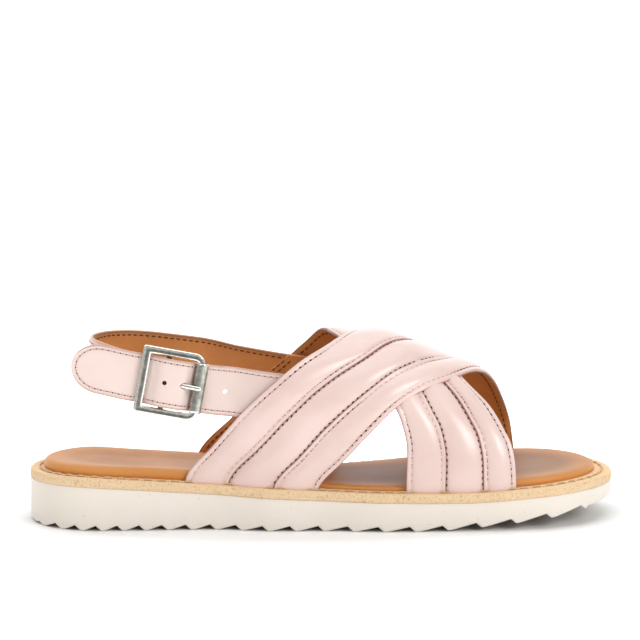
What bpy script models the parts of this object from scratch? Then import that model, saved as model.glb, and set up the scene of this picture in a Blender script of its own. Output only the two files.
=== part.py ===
"""Cross strap sandal, right foot, as a scripted Blender model.

Metres, +Z up. +X is the toe, +Y the inner side of the foot, -Y the outer side with the buckle.
Shapes are worked out in a last frame (heel back at x = 0, ground at z = 0) and then shifted, so that
the origin is the middle of the sole's box, on the ground.
"""

import math

import bmesh
import bpy
import numpy as np
from mathutils import Vector

# Sole
SOLE_LENGTH = 0.265
BALL_WIDTH = 0.094
HEEL_WIDTH = 0.066
HEEL_ROUND = 0.033
TOE_ROUND = 0.040
HEEL_THICK = 0.0200
FORE_THICK = 0.0126
TOE_SPRING = 0.0091
SPRING_START = 0.1735
SPRING_CURVE = 1.4
HEEL_LIFT = 0.0012
HEEL_LIFT_LENGTH = 0.0040
SIDE_BEVEL = 0.0008
OUTSOLE_INSET = 0.0003

# Tread
TOOTH_DEPTH = 0.0022
TOOTH_LAND = 0.0014
TOOTH_DROP = 0.0025
FIRST_TOOTH = 0.0054
FIRST_NOTCH = 0.0016
HEEL_PITCH = 0.0083
TOE_PITCH = 0.0179
TOE_RISE = 0.0010

# Midsole and insole
WELT_THICK = 0.0038
INSOLE_THICK = 0.0038
INSOLE_DISH = 0.0014
INSOLE_EDGE = 0.0026
HEEL_INSET = 0.0062

# Upper
UPPER_WALL = 0.0026
STRAP_INSET = 0.0045
LEG_CLEARANCE = 0.0007
PUFF = 0.0012
CROSS_LIFT = 0.0016
INSTEP_HEIGHT = 0.0805

# Sling strap
SLING_WIDTH = 0.0225
SLING_END_WIDTH = 0.0210
SLING_THICK = 0.0022
SLING_HALF = 0.0270
SLING_HEIGHT = 0.0715
SLING_LEAN = math.radians(5)

# Tab
TAB_WIDTH = 0.0215
TAB_THICK = 0.0019
TAB_TAIL = 0.0420
TAIL_SPREAD = 0.0012
TIP_FLAT = 0.25
TAB_BEND = 0.0018
TAB_FRONT = 0.0520
PRESS_START = 0.0780
PRESS_END = 0.0960
LAP_CLEARANCE = 0.0004
HOLE_RADIUS = 0.0010
HOLE_PITCH = 0.0092
HOLES = (-0.04, 2.96)
CUTTER_REACH = 0.012

# Buckle
BUCKLE_X = 0.0606
BUCKLE_Z = 0.0665
BUCKLE_Y = 0.0309
BUCKLE_TILT = math.radians(10.8)
BUCKLE_LEAN = math.radians(4)
FRAME_HEIGHT = 0.0299
FRAME_REAR = 0.0119
FRAME_FRONT = 0.0151
FRAME_THICK = 0.0026
BAR_WIDTH = 0.0034
RAIL_WIDTH = 0.0028
FRONT_BAR_WIDTH = 0.0022
CORNER_ROUND = 0.0050
REAR_CORNER_ROUND = 0.0010
REAR_INNER_ROUND = 0.0004
CENTRE_BAR_RADIUS = 0.0012
ROLLER_RADIUS = 0.00275
ROLLER_LENGTH = 0.0222
ROLLER_BEVEL = 0.0004
PRONG_RADIUS = 0.0010
PRONG_START = 0.0012
PRONG_OVERHANG = 0.0012
PRONG_HOLE_CLEARANCE = 0.00045
PRONG_TIP = 0.55
HOOK_START = math.radians(-60)
HOOK_END = math.radians(-270)
PRONG_NOTCH = 0.0060
LOOP_THICK = 0.0011
LOOP_SIDE_INSET = 0.0001
LOOP_ROOT_DEPTH = 0.0020
LOOP_ROOT_INSET = 0.0002

GAP = 0.0003
SHARP_ANGLE = math.radians(35)

# Outline of the sole: half widths of the outer (lateral) and inner (medial) side before the round ends.
# Each is heel_part of half the heel width plus ball_part of half the ball width.
OUTLINE_COLUMNS = ("along", "lateral_heel", "lateral_ball", "medial_heel", "medial_ball")
OUTLINE = (
    (0.00, 1.00, 0.000, 1.00, 0.000),
    (0.14, 1.00, 0.000, 1.00, 0.000),
    (0.30, 1.00, 0.000, 0.97, 0.000),
    (0.40, 0.70, 0.330, 0.60, 0.190),
    (0.50, 0.36, 0.600, 0.28, 0.410),
    (0.60, 0.08, 0.880, 0.06, 0.760),
    (0.70, 0.00, 0.950, 0.00, 1.020),
    (0.78, 0.00, 0.945, 0.00, 1.053),
    (0.86, 0.00, 0.900, 0.00, 1.010),
    (1.00, 0.00, 0.830, 0.00, 0.900),
)

# Top of the outsole: heel_part of the heel thickness plus fore_part of the forefoot thickness, plus
# spring_part of the toe spring.
TOP_COLUMNS = ("along", "heel_part", "fore_part", "spring_part")
SOLE_TOP = (
    (0.00, 0.970, 0.00, 0.00),
    (0.08, 0.980, 0.00, 0.00),
    (0.17, 0.800, 0.18, 0.00),
    (0.34, 0.410, 0.57, 0.00),
    (0.56, 0.100, 0.88, 0.00),
    (0.72, 0.000, 1.00, 0.00),
    (0.86, 0.000, 1.00, 0.20),
    (0.93, 0.000, 0.97, 0.35),
    (1.00, 0.000, 0.90, 0.47),
)

# Thickness of the insole, as a share of INSOLE_THICK
INSOLE_COLUMNS = ("along", "thick")
INSOLE_PAD = (
    (0.00, 0.94),
    (0.15, 0.96),
    (0.30, 1.00),
    (0.54, 0.42),
    (0.65, 0.48),
    (0.85, 0.78),
    (1.00, 0.78),
)

# Rim of the insole: how far in from its edge, as a share of INSOLE_EDGE, and height, as a share of its
# thickness there.
# Columns: inward, height
INSOLE_RIM = (
    (0.12, 0.00),
    (0.00, 0.35),
    (0.12, 0.70),
    (0.40, 0.92),
    (1.00, 1.00),
)

# Bowl of the insole: share of the way to its middle line, and depth as a share of INSOLE_DISH
# Columns: inward, depth
INSOLE_BOWL = (
    (0.30, 0.60),
    (0.65, 1.00),
    (1.00, 1.00),
)

# The last: height of its ridge as a share of the instep height, how full its section is (2 is an
# ellipse) and how far its ridge lies to the inner side, as a share of half the heel width.
LAST_COLUMNS = ("along", "ridge", "fullness", "offset")
LAST = (
    (0.20, 1.24, 3.0, 0.00),
    (0.36, 1.14, 2.9, 0.02),
    (0.46, 1.07, 2.7, 0.04),
    (0.55, 1.00, 2.5, 0.06),
    (0.60, 0.985, 2.4, 0.08),
    (0.71, 0.845, 2.3, 0.10),
    (0.76, 0.785, 2.2, 0.12),
    (0.80, 0.71, 2.2, 0.12),
    (0.86, 0.57, 2.2, 0.12),
    (1.00, 0.30, 2.2, 0.10),
)

# Strap edges: place round the last (-1 outer side at the sole, 0 ridge, 1 inner side at the sole), the
# rear and front edge there, as shares of the sole length, and the two seams, as shares of the width.
STRAP_COLUMNS = ("round", "rear", "front", "first_seam", "second_seam")
OVER_STRAP = (
    (-1.00, 0.261, 0.485, 0.335, 0.665),
    (-0.93, 0.308, 0.522, 0.335, 0.665),
    (-0.80, 0.358, 0.566, 0.335, 0.665),
    (-0.65, 0.405, 0.612, 0.335, 0.670),
    (-0.50, 0.446, 0.660, 0.345, 0.680),
    (-0.30, 0.498, 0.717, 0.375, 0.700),
    (0.00, 0.550, 0.772, 0.420, 0.740),
    (0.25, 0.598, 0.802, 0.420, 0.740),
    (0.42, 0.628, 0.818, 0.400, 0.720),
    (0.60, 0.650, 0.834, 0.370, 0.700),
    (0.78, 0.664, 0.846, 0.350, 0.680),
    (1.00, 0.672, 0.853, 0.335, 0.665),
)
UNDER_STRAP = (
    (-1.00, 0.630, 0.816, 0.355, 0.700),
    (-0.84, 0.632, 0.814, 0.355, 0.700),
    (-0.70, 0.622, 0.808, 0.355, 0.700),
    (-0.60, 0.606, 0.797, 0.350, 0.695),
    (-0.45, 0.580, 0.776, 0.350, 0.690),
    (-0.30, 0.554, 0.742, 0.345, 0.680),
    (0.00, 0.508, 0.700, 0.335, 0.670),
    (0.34, 0.478, 0.665, 0.335, 0.665),
    (0.53, 0.446, 0.628, 0.335, 0.665),
    (0.75, 0.398, 0.575, 0.335, 0.665),
    (0.90, 0.345, 0.545, 0.335, 0.665),
    (1.00, 0.285, 0.522, 0.335, 0.665),
)

# Section across a strap: place from rear to front edge and the wall's rise there, as a share of PUFF.
# Each outer panel ends in a raised lip beside a groove, where it laps over the middle panel.
# Columns: across, rise
STRAP_SECTION = (
    (0.000, 0.00),
    (0.030, 0.60),
    (0.110, 1.00),
    (0.194, 1.00),
    (0.274, 0.70),
    (0.294, 1.15),
    (0.316, 1.20),
    (0.328, 0.10),
    (0.350, 0.55),
    (0.424, 1.00),
    (0.560, 1.00),
    (0.634, 0.55),
    (0.656, 0.10),
    (0.668, 1.20),
    (0.690, 1.15),
    (0.710, 0.70),
    (0.790, 1.00),
    (0.890, 1.00),
    (0.970, 0.60),
    (1.000, 0.00),
)
SECTION_SEAMS = (0.322, 0.662)
INNER_ACROSS = (0.0, 0.25, 0.5, 0.75, 1.0)
STRAP_ROWS = 34

# Route of the sling's middle line from the inner side round the heel: shares of the sole length, of
# SLING_HALF and of SLING_HEIGHT. Its last stretch, beside the buckle, follows the buckle's frame.
# Columns: along, side, height
SLING_ROUTE = (
    (0.485, 1.000, 0.820),
    (0.420, 1.010, 0.855),
    (0.350, 1.030, 0.900),
    (0.270, 1.020, 0.945),
    (0.190, 0.930, 0.985),
    (0.140, 0.680, 1.000),
    (0.114, 0.330, 1.003),
    (0.108, 0.000, 1.003),
    (0.112, -0.330, 1.000),
    (0.130, -0.690, 0.992),
    (0.148, -0.895, 0.980),
)
SLING_BESIDE_BUCKLE = (-0.0125, -0.0085, -0.0048)

# Section of a flat strap: place across in half widths, and outwards in thicknesses
# Columns: across, out
BAND_SECTION = (
    (-1.00, -0.5),
    (-0.34, -0.5),
    (0.34, -0.5),
    (1.00, -0.5),
    (1.00, 0.5),
    (0.34, 0.5),
    (-0.34, 0.5),
    (-1.00, 0.5),
)

# Route of the tab in four stretches. Behind the buckle: shares of TAB_TAIL, TAB_BEND and TAIL_SPREAD.
# Columns: along, rise, spread
TAB_BEHIND = (
    (-1.00, 0.6, 1.00),
    (-0.66, 0.3, 0.60),
    (-0.40, 0.0, 0.15),
)

# Up over the centre bar: share of FRAME_REAR, and share of the climb from the strap to over the bar
# Columns: along, climb
TAB_CLIMB = (
    (-0.78, 0.00),
    (-0.46, 0.38),
    (-0.22, 0.84),
    (0.00, 1.00),
)

# Down under the roller: share of FRAME_FRONT, and share of the height that is left
TAB_DESCENT = (
    (0.30, 0.98),
    (0.50, 0.86),
    (0.66, 0.52),
    (0.80, 0.16),
    (0.92, 0.00),
    (1.00, 0.00),
)

# On to the upper: shares of TAB_FRONT and TAB_BEND
# Columns: along, rise
TAB_AHEAD = (
    (0.44, 0.00),
    (0.64, 0.20),
    (0.82, 0.45),
    (1.00, 0.70),
)

# Section of the buckle's ring: share from its outer to its inner edge, and height in thicknesses
# Columns: inward, height
RING_SECTION = (
    (0.00, -0.3),
    (0.00, 0.3),
    (0.25, 0.5),
    (0.75, 0.5),
    (1.00, 0.3),
    (1.00, -0.3),
    (0.75, -0.5),
    (0.25, -0.5),
)

# Colours (linear RGB), roughness and metallic of each material
FINISHES = {
    "cream_rubber": ((0.86, 0.80, 0.72), 0.55, 0.0),
    "welt_leather": ((0.72, 0.54, 0.37), 0.80, 0.0),
    "footbed_leather": ((0.55, 0.35, 0.24), 0.42, 0.0),
    "strap_leather": ((0.80, 0.62, 0.58), 0.45, 0.0),
    "sling_leather": ((0.86, 0.70, 0.66), 0.45, 0.0),
    "buckle_metal": ((0.42, 0.39, 0.36), 0.35, 1.0),
}


def smooth_table(columns, rows, name):
    """A smooth function through one named column of a table, which never overshoots its rows."""
    column = columns.index(name)
    x = np.array([row[0] for row in rows], float)
    y = np.array([row[column] for row in rows], float)
    step = np.diff(x)
    slope = np.diff(y) / step
    tangent = np.zeros(len(x))
    tangent[0], tangent[-1] = slope[0], slope[-1]
    for i in range(1, len(x) - 1):
        if slope[i - 1] * slope[i] > 0:
            before, after = 2 * step[i] + step[i - 1], step[i] + 2 * step[i - 1]
            tangent[i] = (before + after) / (before / slope[i - 1] + after / slope[i])

    def value(at):
        at = min(max(at, x[0]), x[-1])
        i = min(int(np.searchsorted(x, at, side="right")) - 1, len(step) - 1)
        t = (at - x[i]) / step[i]
        ends = y[i] * (1 + 2 * t) * (1 - t) ** 2 + y[i + 1] * t * t * (3 - 2 * t)
        bends = tangent[i] * t * (1 - t) ** 2 - tangent[i + 1] * t * t * (1 - t)
        return float(ends + bends * step[i])

    return value


def smooth_step(low, high, at):
    t = min(max((at - low) / (high - low), 0.0), 1.0)
    return t * t * (3 - 2 * t)


outline = {name: smooth_table(OUTLINE_COLUMNS, OUTLINE, name) for name in OUTLINE_COLUMNS[1:]}
sole_top = [smooth_table(TOP_COLUMNS, SOLE_TOP, name) for name in TOP_COLUMNS[1:]]
last = [smooth_table(LAST_COLUMNS, LAST, name) for name in LAST_COLUMNS[1:]]
insole_pad = smooth_table(INSOLE_COLUMNS, INSOLE_PAD, "thick")


def half_width(side, x):
    """Distance of the sole's edge from the middle line, before the round ends; side is -1 outer, 1 inner."""
    name = "lateral" if side < 0 else "medial"
    heel, ball = outline[f"{name}_heel"], outline[f"{name}_ball"]
    along = x / SOLE_LENGTH
    return heel(along) * HEEL_WIDTH / 2 + ball(along) * BALL_WIDTH / 2


def edge_y(side, x):
    """Sole edge with its round heel and toe."""
    near, far = half_width(-1, x), half_width(1, x)
    into_heel = max(0.0, 1 - x / HEEL_ROUND)
    into_toe = max(0.0, 1 - (SOLE_LENGTH - x) / TOE_ROUND)
    cap = math.sqrt(max(0.0, 1 - max(into_heel, into_toe) ** 2))
    centre = 0.0 if into_heel > 0 else (far - near) / 2
    return centre + side * (far + near) / 2 * cap


def ground(x):
    """Lowest line of the sole: flat, then up in the toe spring."""
    spring = max(0.0, (x - SPRING_START) / (SOLE_LENGTH - SPRING_START))
    lift = max(0.0, 1 - x / HEEL_LIFT_LENGTH)
    return TOE_SPRING * spring**SPRING_CURVE + HEEL_LIFT * lift**2


def outsole_top(x):
    heel, fore, spring = (curve(x / SOLE_LENGTH) for curve in sole_top)
    return heel * HEEL_THICK + fore * FORE_THICK + spring * TOE_SPRING


def welt_top(x):
    return outsole_top(x) + GAP + WELT_THICK


def tooth_stations():
    """(x, rise) along the saw-tooth tread: each tooth is a flat land, a gentle rise and a steep drop."""
    stations = [(0.0, 0.0), (FIRST_NOTCH, 0.0), (FIRST_TOOTH - TOOTH_DROP / 2, TOOTH_DEPTH / 2)]
    x = FIRST_TOOTH
    while x < SOLE_LENGTH - TOE_PITCH - TOOTH_DROP:
        stations += [(x, 0.0), (x + TOOTH_LAND, 0.0)]
        x += HEEL_PITCH + (TOE_PITCH - HEEL_PITCH) * x / SOLE_LENGTH
        stations += [(x - TOOTH_DROP, TOOTH_DEPTH)]
    stations += [(x, 0.0), (x + TOOTH_LAND, TOE_RISE), (SOLE_LENGTH, TOE_RISE / 2)]
    return stations


def end_stations(count=9):
    """Places along the sole that keep its round ends round."""
    turns = [math.radians(6 + 84 * k / (count - 1)) for k in range(count)]
    heel = [HEEL_ROUND * (1 - math.cos(turn)) for turn in turns]
    toe = [SOLE_LENGTH - TOE_ROUND * (1 - math.cos(turn)) for turn in turns]
    return heel + toe


def between(low, high, count):
    return [low + (high - low) * k / (count - 1) for k in range(count)]


class Shape:
    """Collects rings of points and closes them into one solid."""

    def __init__(self):
        self.mesh = bmesh.new()

    def ring(self, points):
        return [self.mesh.verts.new(point) for point in points]

    def band(self, first, second, closed=True):
        count = len(first)
        for k in range(count if closed else count - 1):
            j = (k + 1) % count
            self.mesh.faces.new((first[k], first[j], second[j], second[k]))

    def cap(self, ring):
        self.mesh.faces.new(ring)

    def tube(self, sections, joined=False):
        """Skins a row of equal closed sections, capped, or joined end to end."""
        rings = [self.ring(points) for points in sections]
        for first, second in zip(rings, rings[1:]):
            self.band(first, second)
        if joined:
            self.band(rings[-1], rings[0])
        else:
            self.cap(rings[0])
            self.cap(rings[-1])

    def made(self, name, finish, merge=0.00002):
        bmesh.ops.remove_doubles(self.mesh, verts=self.mesh.verts, dist=merge)
        bmesh.ops.triangulate(self.mesh, faces=self.mesh.faces)
        bmesh.ops.recalc_face_normals(self.mesh, faces=self.mesh.faces)
        if self.mesh.calc_volume(signed=True) < 0:
            bmesh.ops.reverse_faces(self.mesh, faces=self.mesh.faces)
        data = bpy.data.meshes.new(name)
        self.mesh.to_mesh(data)
        self.mesh.free()
        data.shade_smooth()
        data.set_sharp_from_angle(angle=SHARP_ANGLE)
        obj = bpy.data.objects.new(name, data)
        obj.data.materials.append(finish_of(finish))
        bpy.context.scene.collection.objects.link(obj)
        return obj


def finish_of(name):
    found = bpy.data.materials.get(name)
    if found:
        return found
    colour, roughness, metallic = FINISHES[name]
    material = bpy.data.materials.new(name)
    material.use_nodes = True
    shader = material.node_tree.nodes["Principled BSDF"]
    shader.inputs["Base Color"].default_value = (*colour, 1.0)
    shader.inputs["Roughness"].default_value = roughness
    shader.inputs["Metallic"].default_value = metallic
    return material


def helper(obj):
    """Marks a cutter or a piece that only a Boolean uses."""
    obj.hide_render = True
    obj.display_type = "WIRE"
    return obj


def combine(obj, other, operation):
    modifier = obj.modifiers.new(other.name, "BOOLEAN")
    modifier.operation = operation
    modifier.solver = "EXACT"
    modifier.object = helper(other)


def sorted_stations(places, apart=0.0007):
    """(x, rise) in order. Of two that nearly meet, the one with a tooth corner stays."""
    kept = []
    for x, rise, corner in sorted(places):
        if kept and x - kept[-1][0] < apart:
            if corner and not kept[-1][2]:
                kept[-1] = (x, rise, corner)
            continue
        kept.append((x, rise, corner))
    return [(x, rise) for x, rise, _ in kept]


def make_outsole():
    teeth = tooth_stations()
    tooth_x = [x for x, _ in teeth]
    tooth_rise = [rise for _, rise in teeth]
    places = [(x, rise, True) for x, rise in teeth if x > HEEL_ROUND * 0.006]
    places += [(x, float(np.interp(x, tooth_x, tooth_rise)), False) for x in end_stations()]
    sections = []
    for x, rise in sorted_stations(places):
        low, high = ground(x) + rise, outsole_top(x)
        near = edge_y(-1, x) + OUTSOLE_INSET
        far = edge_y(1, x) - OUTSOLE_INSET
        bevel = min(SIDE_BEVEL, (far - near) / 6)
        sections.append((
            (x, near + bevel, low),
            (x, near, low + bevel),
            (x, near, high),
            (x, far, high),
            (x, far, low + bevel),
            (x, far - bevel, low),
        ))
    shape = Shape()
    shape.tube(sections)
    return shape.made("outsole", "cream_rubber")


def make_midsole():
    middle = between(HEEL_ROUND, SOLE_LENGTH - TOE_ROUND, 18)
    places = [(x, 0.0, False) for x in end_stations() + middle]
    sections = []
    for x, _ in sorted_stations(places):
        low, high = outsole_top(x) + GAP, welt_top(x)
        near, far = edge_y(-1, x), edge_y(1, x)
        sections.append(((x, near, low), (x, near, high), (x, far, high), (x, far, low)))
    shape = Shape()
    shape.tube(sections)
    return shape.made("midsole", "welt_leather")


def insole_inset(x):
    """The insole ends just inside the strap legs, and a little nearer the edge round the heel."""
    beside_straps = STRAP_INSET + UPPER_WALL + LEG_CLEARANCE
    return HEEL_INSET + (beside_straps - HEEL_INSET) * smooth_step(0.1, 0.22, x / SOLE_LENGTH)


def outline_points(count, inset):
    """Points round the sole, moved inwards by inset(x), with the matching points on the middle line."""
    edge = []
    for side, order in ((-1, range(count + 1)), (1, range(count - 1, 0, -1))):
        for k in order:
            x = SOLE_LENGTH * (1 - math.cos(math.pi * k / count)) / 2
            edge.append(Vector((x, edge_y(side, x), 0)))
    points, spine = [], []
    for k, point in enumerate(edge):
        before, after = edge[k - 1], edge[(k + 1) % len(edge)]
        along = (after - before).normalized()
        inward = Vector((-along.y, along.x, 0))
        points.append(point + inward * inset(point.x))
    for k, point in enumerate(points):
        opposite = points[-k]
        x = min(max((point.x + opposite.x) / 2, HEEL_ROUND), SOLE_LENGTH - TOE_ROUND)
        spine.append(Vector((x, (half_width(1, x) - half_width(-1, x)) / 2, 0)))
    return points, spine


def make_insole():
    points, spine = outline_points(34, insole_inset)
    shape = Shape()

    def ring(from_edge, to_middle, height):
        made = []
        for point, middle in zip(points, spine):
            step = (middle - point).normalized() * from_edge
            at = (point + step).lerp(middle, to_middle)
            thick = INSOLE_THICK * insole_pad(at.x / SOLE_LENGTH)
            made.append((at.x, at.y, welt_top(at.x) + GAP + thick * height))
        return shape.ring(made)

    rings = [ring(INSOLE_EDGE, inward, 0.0) for inward in (1.0, 0.5)]
    rings += [ring(inward * INSOLE_EDGE, 0.0, height) for inward, height in INSOLE_RIM]
    deepest = INSOLE_DISH / INSOLE_THICK
    rings += [ring(INSOLE_EDGE, inward, 1 - depth * deepest) for inward, depth in INSOLE_BOWL]
    for first, second in zip(rings, rings[1:]):
        shape.band(first, second)
    return shape.made("insole", "footbed_leather")


def last_section(x):
    """Base height, ridge height, half widths of both sides, ridge offset and fullness of the last at x."""
    ridge, fullness, offset = (curve(x / SOLE_LENGTH) for curve in last)
    inset = STRAP_INSET + UPPER_WALL
    base = welt_top(x) + GAP
    shift = offset * HEEL_WIDTH / 2
    return base, ridge * INSTEP_HEIGHT, edge_y(-1, x) + inset, edge_y(1, x) - inset, shift, fullness


def last_point(x, place):
    """A point of the last's skin; place runs from -1 (outer side, at the sole) over 0 (ridge) to 1."""
    base, top, near, far, shift, fullness = last_section(x)
    turn = abs(place) * math.pi / 2
    side = near if place < 0 else far
    out = max(math.sin(turn), 0.0) ** (2 / fullness)
    up = max(math.cos(turn), 0.0) ** (2 / fullness)
    return Vector((x, shift * (1 - out) + side * out, base + (top - base) * up))


def last_side(x, z, side):
    """The y of the last's skin at height z, on the outer (-1) or inner (1) side."""
    base, top, near, far, shift, fullness = last_section(x)
    up = min(max((z - base) / (top - base), 0.0), 0.98)
    out = (1 - up**fullness) ** (1 / fullness)
    return shift * (1 - out) + (near if side < 0 else far) * out


def last_normal(x, place):
    step_x, step_place = 0.0008, 0.004
    along = last_point(x + step_x, place) - last_point(x - step_x, place)
    low, high = max(place - step_place, -1.0), min(place + step_place, 1.0)
    across = last_point(x, high) - last_point(x, low)
    return along.cross(across).normalized()


def strap_shape(name, table, lift):
    """One strap: the last's skin between two edges, with a wall whose outer side has panels and seams."""
    rear, front, *seams = (smooth_table(STRAP_COLUMNS, table, name) for name in STRAP_COLUMNS[1:])
    places = between(-1.0, 1.0, STRAP_ROWS)
    shape = Shape()
    outer, inner = [], []
    for place in places:
        start, end = rear(place) * SOLE_LENGTH, front(place) * SOLE_LENGTH
        raised = lift * (1 - smooth_step(0.66, 0.86, abs(place)))
        outer_points, inner_points = [], []
        at_seams = [seam(place) for seam in seams]
        for across, rise in STRAP_SECTION:
            moved = float(np.interp(across, (0.0, *SECTION_SEAMS, 1.0), (0.0, *at_seams, 1.0)))
            x = start + (end - start) * moved
            out = raised + UPPER_WALL + PUFF * rise
            outer_points.append(last_point(x, place) + last_normal(x, place) * out)
        for across in INNER_ACROSS:
            x = start + (end - start) * across
            inner_points.append(last_point(x, place) + last_normal(x, place) * raised)
        if abs(place) > 0.999:
            for points in (outer_points, inner_points):
                for point in points:
                    point.z = welt_top(point.x) + GAP
        outer.append(shape.ring(outer_points))
        inner.append(shape.ring(inner_points))
    for rows in (outer, inner):
        for first, second in zip(rows, rows[1:]):
            shape.band(first, second, closed=False)
    for k in range(len(places) - 1):
        for end in (0, -1):
            shape.mesh.faces.new((outer[k][end], outer[k + 1][end], inner[k + 1][end], inner[k][end]))
    for end in (0, -1):
        shape.cap(outer[end] + inner[end][::-1])
    return shape.made(name, "strap_leather")


def make_upper():
    upper = strap_shape("upper", UNDER_STRAP, 0.0)
    combine(upper, strap_shape("over_strap", OVER_STRAP, CROSS_LIFT), "UNION")
    return upper


# The buckle's frame of directions: along the strap towards the toe, across it upwards, and outwards.
ALONG = Vector((math.cos(BUCKLE_TILT), 0, -math.sin(BUCKLE_TILT)))
ACROSS = Vector((
    math.sin(BUCKLE_TILT) * math.cos(BUCKLE_LEAN),
    math.sin(BUCKLE_LEAN),
    math.cos(BUCKLE_TILT) * math.cos(BUCKLE_LEAN),
))
OUT = ALONG.cross(ACROSS)

# Heights over the middle of the sling strap, each stacked on the piece below it
LOOP_RADIUS = CENTRE_BAR_RADIUS + GAP + LOOP_THICK
REST_OUT = SLING_THICK / 2 + GAP + TAB_THICK / 2
FRAME_OUT = REST_OUT + TAB_THICK / 2 + GAP + FRAME_THICK / 2
BAR_OUT = FRAME_OUT - FRAME_THICK / 2 - CENTRE_BAR_RADIUS * 0.6
HOOK_RADIUS = CENTRE_BAR_RADIUS + GAP + PRONG_RADIUS
OVER_BAR_OUT = BAR_OUT + HOOK_RADIUS + PRONG_RADIUS + GAP + TAB_THICK / 2
UNDER_ROLLER_OUT = FRAME_OUT - ROLLER_RADIUS - GAP - TAB_THICK / 2
PRONG_TIP_OUT = FRAME_OUT + ROLLER_RADIUS + GAP + PRONG_RADIUS
MIDDLE = Vector((BUCKLE_X, -BUCKLE_Y, BUCKLE_Z)) - OUT * BAR_OUT


def at_buckle(along, across, out):
    return MIDDLE + ALONG * along + ACROSS * across + OUT * out


def smooth_route(points, count):
    """Evenly spread points on a smooth curve through the given ones."""
    points = [Vector(point) for point in points]
    padded = [2 * points[0] - points[1], *points, 2 * points[-1] - points[-2]]
    fine = []
    for k in range(len(points) - 1):
        p0, p1, p2, p3 = padded[k : k + 4]
        for j in range(24):
            t = j / 24
            bend = (2 * p0 - 5 * p1 + 4 * p2 - p3) * t * t + (3 * p1 - p0 - 3 * p2 + p3) * t**3
            fine.append((2 * p1 + (p2 - p0) * t + bend) / 2)
    fine.append(points[-1])
    gone = [0.0]
    for first, second in zip(fine, fine[1:]):
        gone.append(gone[-1] + (second - first).length)
    route = []
    for at in between(0.0, gone[-1], count):
        k = min(max(int(np.searchsorted(gone, at)), 1), len(gone) - 1)
        t = (at - gone[k - 1]) / (gone[k] - gone[k - 1])
        route.append(fine[k - 1].lerp(fine[k], t))
    return route


def pressed(point, depth):
    """Leads a strap's end from its own route to just inside the wall of the upper that laps over it."""
    side = -1 if point.y < 0 else 1
    limit = abs(last_side(point.x, point.z, side)) - LAP_CLEARANCE - depth
    share = smooth_step(PRESS_START, PRESS_END, point.x)
    return Vector((point.x, point.y + (side * limit - point.y) * share, point.z))


def make_heel_strap():
    rows = [
        (along * SOLE_LENGTH, side * SLING_HALF, height * SLING_HEIGHT)
        for along, side, height in SLING_ROUTE
    ]
    rows += [tuple(at_buckle(along, 0, 0)) for along in SLING_BESIDE_BUCKLE]
    route = smooth_route(rows, 44)
    total = len(route) - 1
    sections = []
    for k, point in enumerate(route):
        ahead = (route[min(k + 1, total)] - route[max(k - 1, 0)]).normalized()
        outward = ahead.cross(Vector((0, 0, 1))).normalized()
        up = outward.cross(ahead).normalized()
        near_end = smooth_step(0.80, 0.97, k / total)
        side_share = min(abs(point.y) / SLING_HALF, 1.0)
        up = (up - outward * math.tan(SLING_LEAN) * side_share).normalized()
        up = up.lerp(ACROSS, near_end).normalized()
        outward = outward.lerp(OUT, near_end).normalized()
        half = (SLING_WIDTH + (SLING_END_WIDTH - SLING_WIDTH) * near_end) / 2
        section = []
        for across, out in BAND_SECTION:
            place = point + up * (across * half) + outward * (out * SLING_THICK)
            if point.x > PRESS_START and point.y > 0:
                place = pressed(place, (0.5 - out) * SLING_THICK)
            section.append(place)
        sections.append(section)
    shape = Shape()
    shape.tube(sections)
    strap = shape.made("heel_strap", "sling_leather")
    for side in (-1, 1):
        combine(strap, bar_loop(side), "UNION")
    return strap


def bar_loop(side):
    """One half of the strap's loop round the centre bar, beside the slot that the prong works in."""
    start = side * PRONG_NOTCH / 2
    end = side * (SLING_END_WIDTH / 2 - LOOP_SIDE_INSET)
    root = SLING_BESIDE_BUCKLE[-1] - LOOP_ROOT_DEPTH
    half = SLING_THICK / 2 - LOOP_ROOT_INSET
    hollow = CENTRE_BAR_RADIUS + GAP
    outer, inner = [], []
    for along, out in circle(20):
        inner.append((hollow * along, BAR_OUT + hollow * out))
        outer.append([LOOP_RADIUS * along, BAR_OUT + LOOP_RADIUS * out])
    # The loop's tail: the points that face the strap are drawn back onto it.
    for point in outer:
        if point[0] < -0.3 * LOOP_RADIUS and point[1] < BAR_OUT + 0.3 * LOOP_RADIUS:
            low = point[1] < BAR_OUT - 0.35 * LOOP_RADIUS
            point[0], point[1] = root, (-half if low else half)
    sections = [
        [at_buckle(along, across, out) for along, out in points]
        for across, points in ((start, outer), (end, outer), (end, inner), (start, inner))
    ]
    shape = Shape()
    shape.tube(sections, joined=True)
    return shape.made(f"loop_{'upper' if side > 0 else 'lower'}", "sling_leather", merge=0.000001)


def tab_route():
    """The tab's middle line as (along, rise, out) at the buckle."""
    climb_height, descent_height = OVER_BAR_OUT - REST_OUT, OVER_BAR_OUT - UNDER_ROLLER_OUT
    rows = [
        (along * TAB_TAIL, rise * TAB_BEND, REST_OUT + spread * TAIL_SPREAD)
        for along, rise, spread in TAB_BEHIND
    ]
    rows += [(along * FRAME_REAR, 0.0, REST_OUT + climb * climb_height) for along, climb in TAB_CLIMB]
    rows += [
        (along * FRAME_FRONT, 0.0, UNDER_ROLLER_OUT + climb * descent_height) for along, climb in TAB_DESCENT
    ]
    rows += [(along * TAB_FRONT, rise * TAB_BEND, UNDER_ROLLER_OUT) for along, rise in TAB_AHEAD]
    return smooth_route(rows, 52)


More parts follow.
